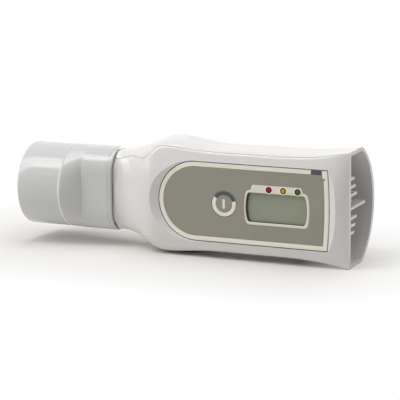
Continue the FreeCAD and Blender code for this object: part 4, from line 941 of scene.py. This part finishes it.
class METER_OT_power_key(MeterOperator, bpy.types.Operator):
    """Build the power key cap and lay its ring and bar on it"""
    bl_idname = "meter.power_key"
    bl_label = "Power key"

    def execute(self, context):
        radius = self.size("key_radius")
        profile = [(-radius * share, 0.0) for share in KEY_TOP]
        profile += low_profile(0.0, KEY_UNDER, KEY_EDGE)
        profile += [(KEY_FLANGE, KEY_UNDER), (KEY_FLANGE, KEY_FLANGE_END), (KEY_STEM, KEY_FLANGE_END),
                    (KEY_STEM, KEY_STEM_END)]
        button("power_key_cap", circle(KEY_X, KEY_Z, radius, 96), profile,
               film("key film", self.colours.label), "power_key", ("power_key",))
        light = ink("key print", self.colours.trim)
        dark = ink("key shade", self.colours.mark)
        ring = KEY_X, KEY_Z, self.size("ring_inner"), self.size("ring_outer")
        start, end = math.radians(GAP_START), math.radians(GAP_END)
        for name, loop, material, slot in (
                ("key_ring", sector(*ring, end, start + 2 * math.pi), light, "frame_plastic"),
                ("key_shade", sector(*ring, start, end), dark, "label_film"),
                ("key_bar", rounded(KEY_BAR), light, "frame_plastic")):
            button(name, loop, low_profile(*PRINTED), material, "power_key")
        return {"FINISHED"}


class METER_OT_electronics(MeterOperator, bpy.types.Operator):
    """Finish the circuit board, the parts on it and the rubber around it"""
    bl_idname = "meter.electronics"
    bl_label = "Electronics"

    def execute(self, context):
        dress("main_board", laminate("board laminate", BOARD_GREEN, TRACK_GREEN))
        package = moulded("chip resin", CHIP_BLACK, roughness=0.55, grain=COARSE_GRAIN)
        for node in ("microcontroller", "memory_chip", "hall_sensor", "key_switch", "display_holder"):
            dress(node, package)
        dress("board_parts", moulded("ceramic", CERAMIC_BROWN, roughness=0.5, grain=COARSE_GRAIN))
        dress("buzzer", metal("buzzer brass", BUZZER_BRASS))
        dark = rubber("dark rubber", CHIP_BLACK)
        for node in ("contact_strips", "cover_seal"):
            dress(node, dark)
        return {"FINISHED"}


class METER_OT_airway(MeterOperator, bpy.types.Operator):
    """Finish the inner cover, the vane and what carries it, the cell, its contacts and the screws"""
    bl_idname = "meter.airway"
    bl_label = "Airway"

    def execute(self, context):
        plastic = moulded("cover plastic", COVER_GREY, roughness=0.4)
        for node in ("inner_cover", "flow_vane"):
            dress(node, plastic)
        steel = metal("plated steel", STEEL_GREY)
        for node in ("vane_shaft", "vane_spring", "coin_cell", "positive_contact", "negative_contact",
                     "board_screws", "shell_screws"):
            dress(node, steel)
        dress("vane_bushes", metal("bush brass", BUSH_BRASS))
        dress("vane_magnet", metal("magnet plating", MAGNET_GREY, roughness=0.4))
        return {"FINISHED"}


# Camera, lights and floor: angles in degrees, the lens and its sensor in millimetres, the rest in metres

CAMERA_TURN = 23.878
CAMERA_TILT = 11.427
CAMERA_ROLL = -0.456
CAMERA_DISTANCE = 0.80257
CAMERA_LENS = 180.2
CAMERA_TARGET = (0.00953, -0.01433, 0.02385)
SENSOR_WIDTH = 36.0

# Softboxes as (name, turn, tilt, width, height, power in watts); turn 0 faces the label
SOFTBOXES = (("overhead", 0.0, 90.0, 0.85, 0.85, 5.15),
             ("front overhead", -32.0, 60.0, 0.45, 0.45, 1.5),
             ("left", -60.0, 46.0, 0.35, 0.55, 2.2),
             ("low left", -60.0, 20.0, 0.45, 0.45, 1.3),
             ("right", 90.0, 45.0, 0.45, 0.45, 0.8),
             ("low back", 180.0, 20.0, 0.45, 0.45, 3.5))
SOFTBOX_DISTANCE = 0.9
WORLD_LEVEL = 0.1
SEEN_LEVEL = 1.0

# Floor: its half size, its colour for other rays and for the camera, the rectangle on it, as (axis,
# middle, half size), that keeps the shadow, and how far beyond this the floor is plain white
FLOOR_HALF = 3.0
PAPER = (0.8, 0.788, 0.765, 1.0)
PAPER_SEEN = (0.68, 0.662, 0.635, 1.0)
FOOTPRINT = ((0, -0.01, 0.06), (1, 0.0, 0.012))
GLOW_FAR = 0.063


def direction(turn, tilt):
    """Unit vector towards a turn and a tilt in degrees; turn 0 faces the label."""
    turn = math.radians(turn)
    tilt = math.radians(tilt)
    return Vector((math.sin(turn) * math.cos(tilt), -math.cos(turn) * math.cos(tilt), math.sin(tilt)))


def aim(turn, tilt, roll, distance, target):
    """World matrix of a camera that looks at the target from a direction in degrees."""
    back = direction(turn, tilt)
    turn, roll = math.radians(turn), math.radians(roll)
    right = Vector((math.cos(turn), math.sin(turn), 0.0))
    up = back.cross(right)
    axes = (math.cos(roll) * right + math.sin(roll) * up, math.cos(roll) * up - math.sin(roll) * right, back)
    matrix = Matrix(axes).transposed().to_4x4()
    matrix.translation = Vector(target) + back * distance
    return matrix


def softbox(name, turn, tilt, width, height, power):
    """Rectangular area light that faces the object."""
    data = bpy.data.lights.new(name, "AREA")
    data.shape = "RECTANGLE"
    data.size = width
    data.size_y = height
    data.energy = power
    light = bpy.data.objects.new(name, data)
    towards = direction(turn, tilt)
    light.location = towards * SOFTBOX_DISTANCE
    light.rotation_euler = towards.to_track_quat("Z", "Y").to_euler()
    bpy.context.scene.collection.objects.link(light)


class METER_OT_stage(MeterOperator, bpy.types.Operator):
    """Build the floor, the lights, the world and the camera"""
    bl_idname = "meter.stage"
    bl_label = "Stage"

    def execute(self, context):
        scene = context.scene
        scene.view_settings.view_transform = "Standard"
        self.floor()
        self.world(scene)
        for box in SOFTBOXES:
            softbox(*box)
        data = bpy.data.cameras.new("photo camera")
        data.lens = CAMERA_LENS
        data.sensor_width = SENSOR_WIDTH
        camera = bpy.data.objects.new("photo camera", data)
        camera.matrix_world = aim(CAMERA_TURN, CAMERA_TILT, CAMERA_ROLL, CAMERA_DISTANCE, CAMERA_TARGET)
        scene.collection.objects.link(camera)
        scene.camera = camera
        return {"FINISHED"}

    def floor(self):
        """Paper floor that keeps the shadow near the object and turns to plain white further out."""
        mesh = bmesh.new()
        bmesh.ops.create_grid(mesh, x_segments=1, y_segments=1, size=FLOOR_HALF)
        data = bpy.data.meshes.new("floor")
        mesh.to_mesh(data)
        mesh.free()
        floor = bpy.data.objects.new("floor", data)
        bpy.context.scene.collection.objects.link(floor)
        finish = Finish("paper", IOR=PAPER_IOR)
        fibre = finish.noise(PAPER_FIBRE, 3.0) * 0.02
        camera = finish.node("LightPath", output="Is Camera Ray")
        base = finish.blend(camera, finish.blend(fibre, PAPER, WHITE), PAPER_SEEN)
        finish.feed(Base_Color=base, Roughness=fibre + 0.9)
        aside = [(abs(finish.part(axis) - middle) - half).at_least(0.0) for axis, middle, half in FOOTPRINT]
        beyond = (aside[0] * aside[0] + aside[1] * aside[1]).root()
        far = finish.ramp(beyond, (0.0, 0.0), (GLOW_FAR, 1.0))
        finish.glow(far * finish.seen(), shade(WHITE, SEEN_LEVEL))
        data.materials.append(finish.material)

    def world(self, scene):
        """Even light that shows as plain white where it is seen."""
        world = bpy.data.worlds.new("studio")
        scene.world = world
        world.use_nodes = True
        strength = Nodes(world.node_tree).seen() * (SEEN_LEVEL - WORLD_LEVEL) + WORLD_LEVEL
        background = world.node_tree.nodes["Background"]
        background.inputs["Color"].default_value = WHITE
        connect(world.node_tree, background.inputs["Strength"], strength)


class METER_PT_panel(bpy.types.Panel):
    """Sidebar panel with the settings and the building steps"""
    bl_idname = "METER_PT_panel"
    bl_label = "Peak flow meter"
    bl_space_type = "VIEW_3D"
    bl_region_type = "UI"
    bl_category = "Meter"

    def draw(self, context):
        for group in (context.scene.meter_colours, context.scene.meter_sizes):
            column = self.layout.column()
            for name in group.__annotations__:
                column.prop(group, name)
        for step in STEPS:
            self.layout.operator(step.bl_idname)


# In building order: the grip takes its material and its place from the finished door
STEPS = (METER_OT_housing, METER_OT_door_grip, METER_OT_mouthpiece, METER_OT_label, METER_OT_display,
         METER_OT_power_key, METER_OT_electronics, METER_OT_airway, METER_OT_stage)
CLASSES = (MeterColours, MeterSizes, METER_PT_panel) + STEPS


def register():
    """Register the classes and hang the settings on the scene."""
    for item in CLASSES:
        bpy.utils.register_class(item)
    bpy.types.Scene.meter_colours = bpy.props.PointerProperty(type=MeterColours)
    bpy.types.Scene.meter_sizes = bpy.props.PointerProperty(type=MeterSizes)


def unregister():
    del bpy.types.Scene.meter_colours
    del bpy.types.Scene.meter_sizes
    for item in reversed(CLASSES):
        bpy.utils.unregister_class(item)


def main():
    """Build everything."""
    register()
    for step in STEPS:
        group, name = step.bl_idname.split(".")
        getattr(getattr(bpy.ops, group), name)()


if __name__ == "__main__":
    main()
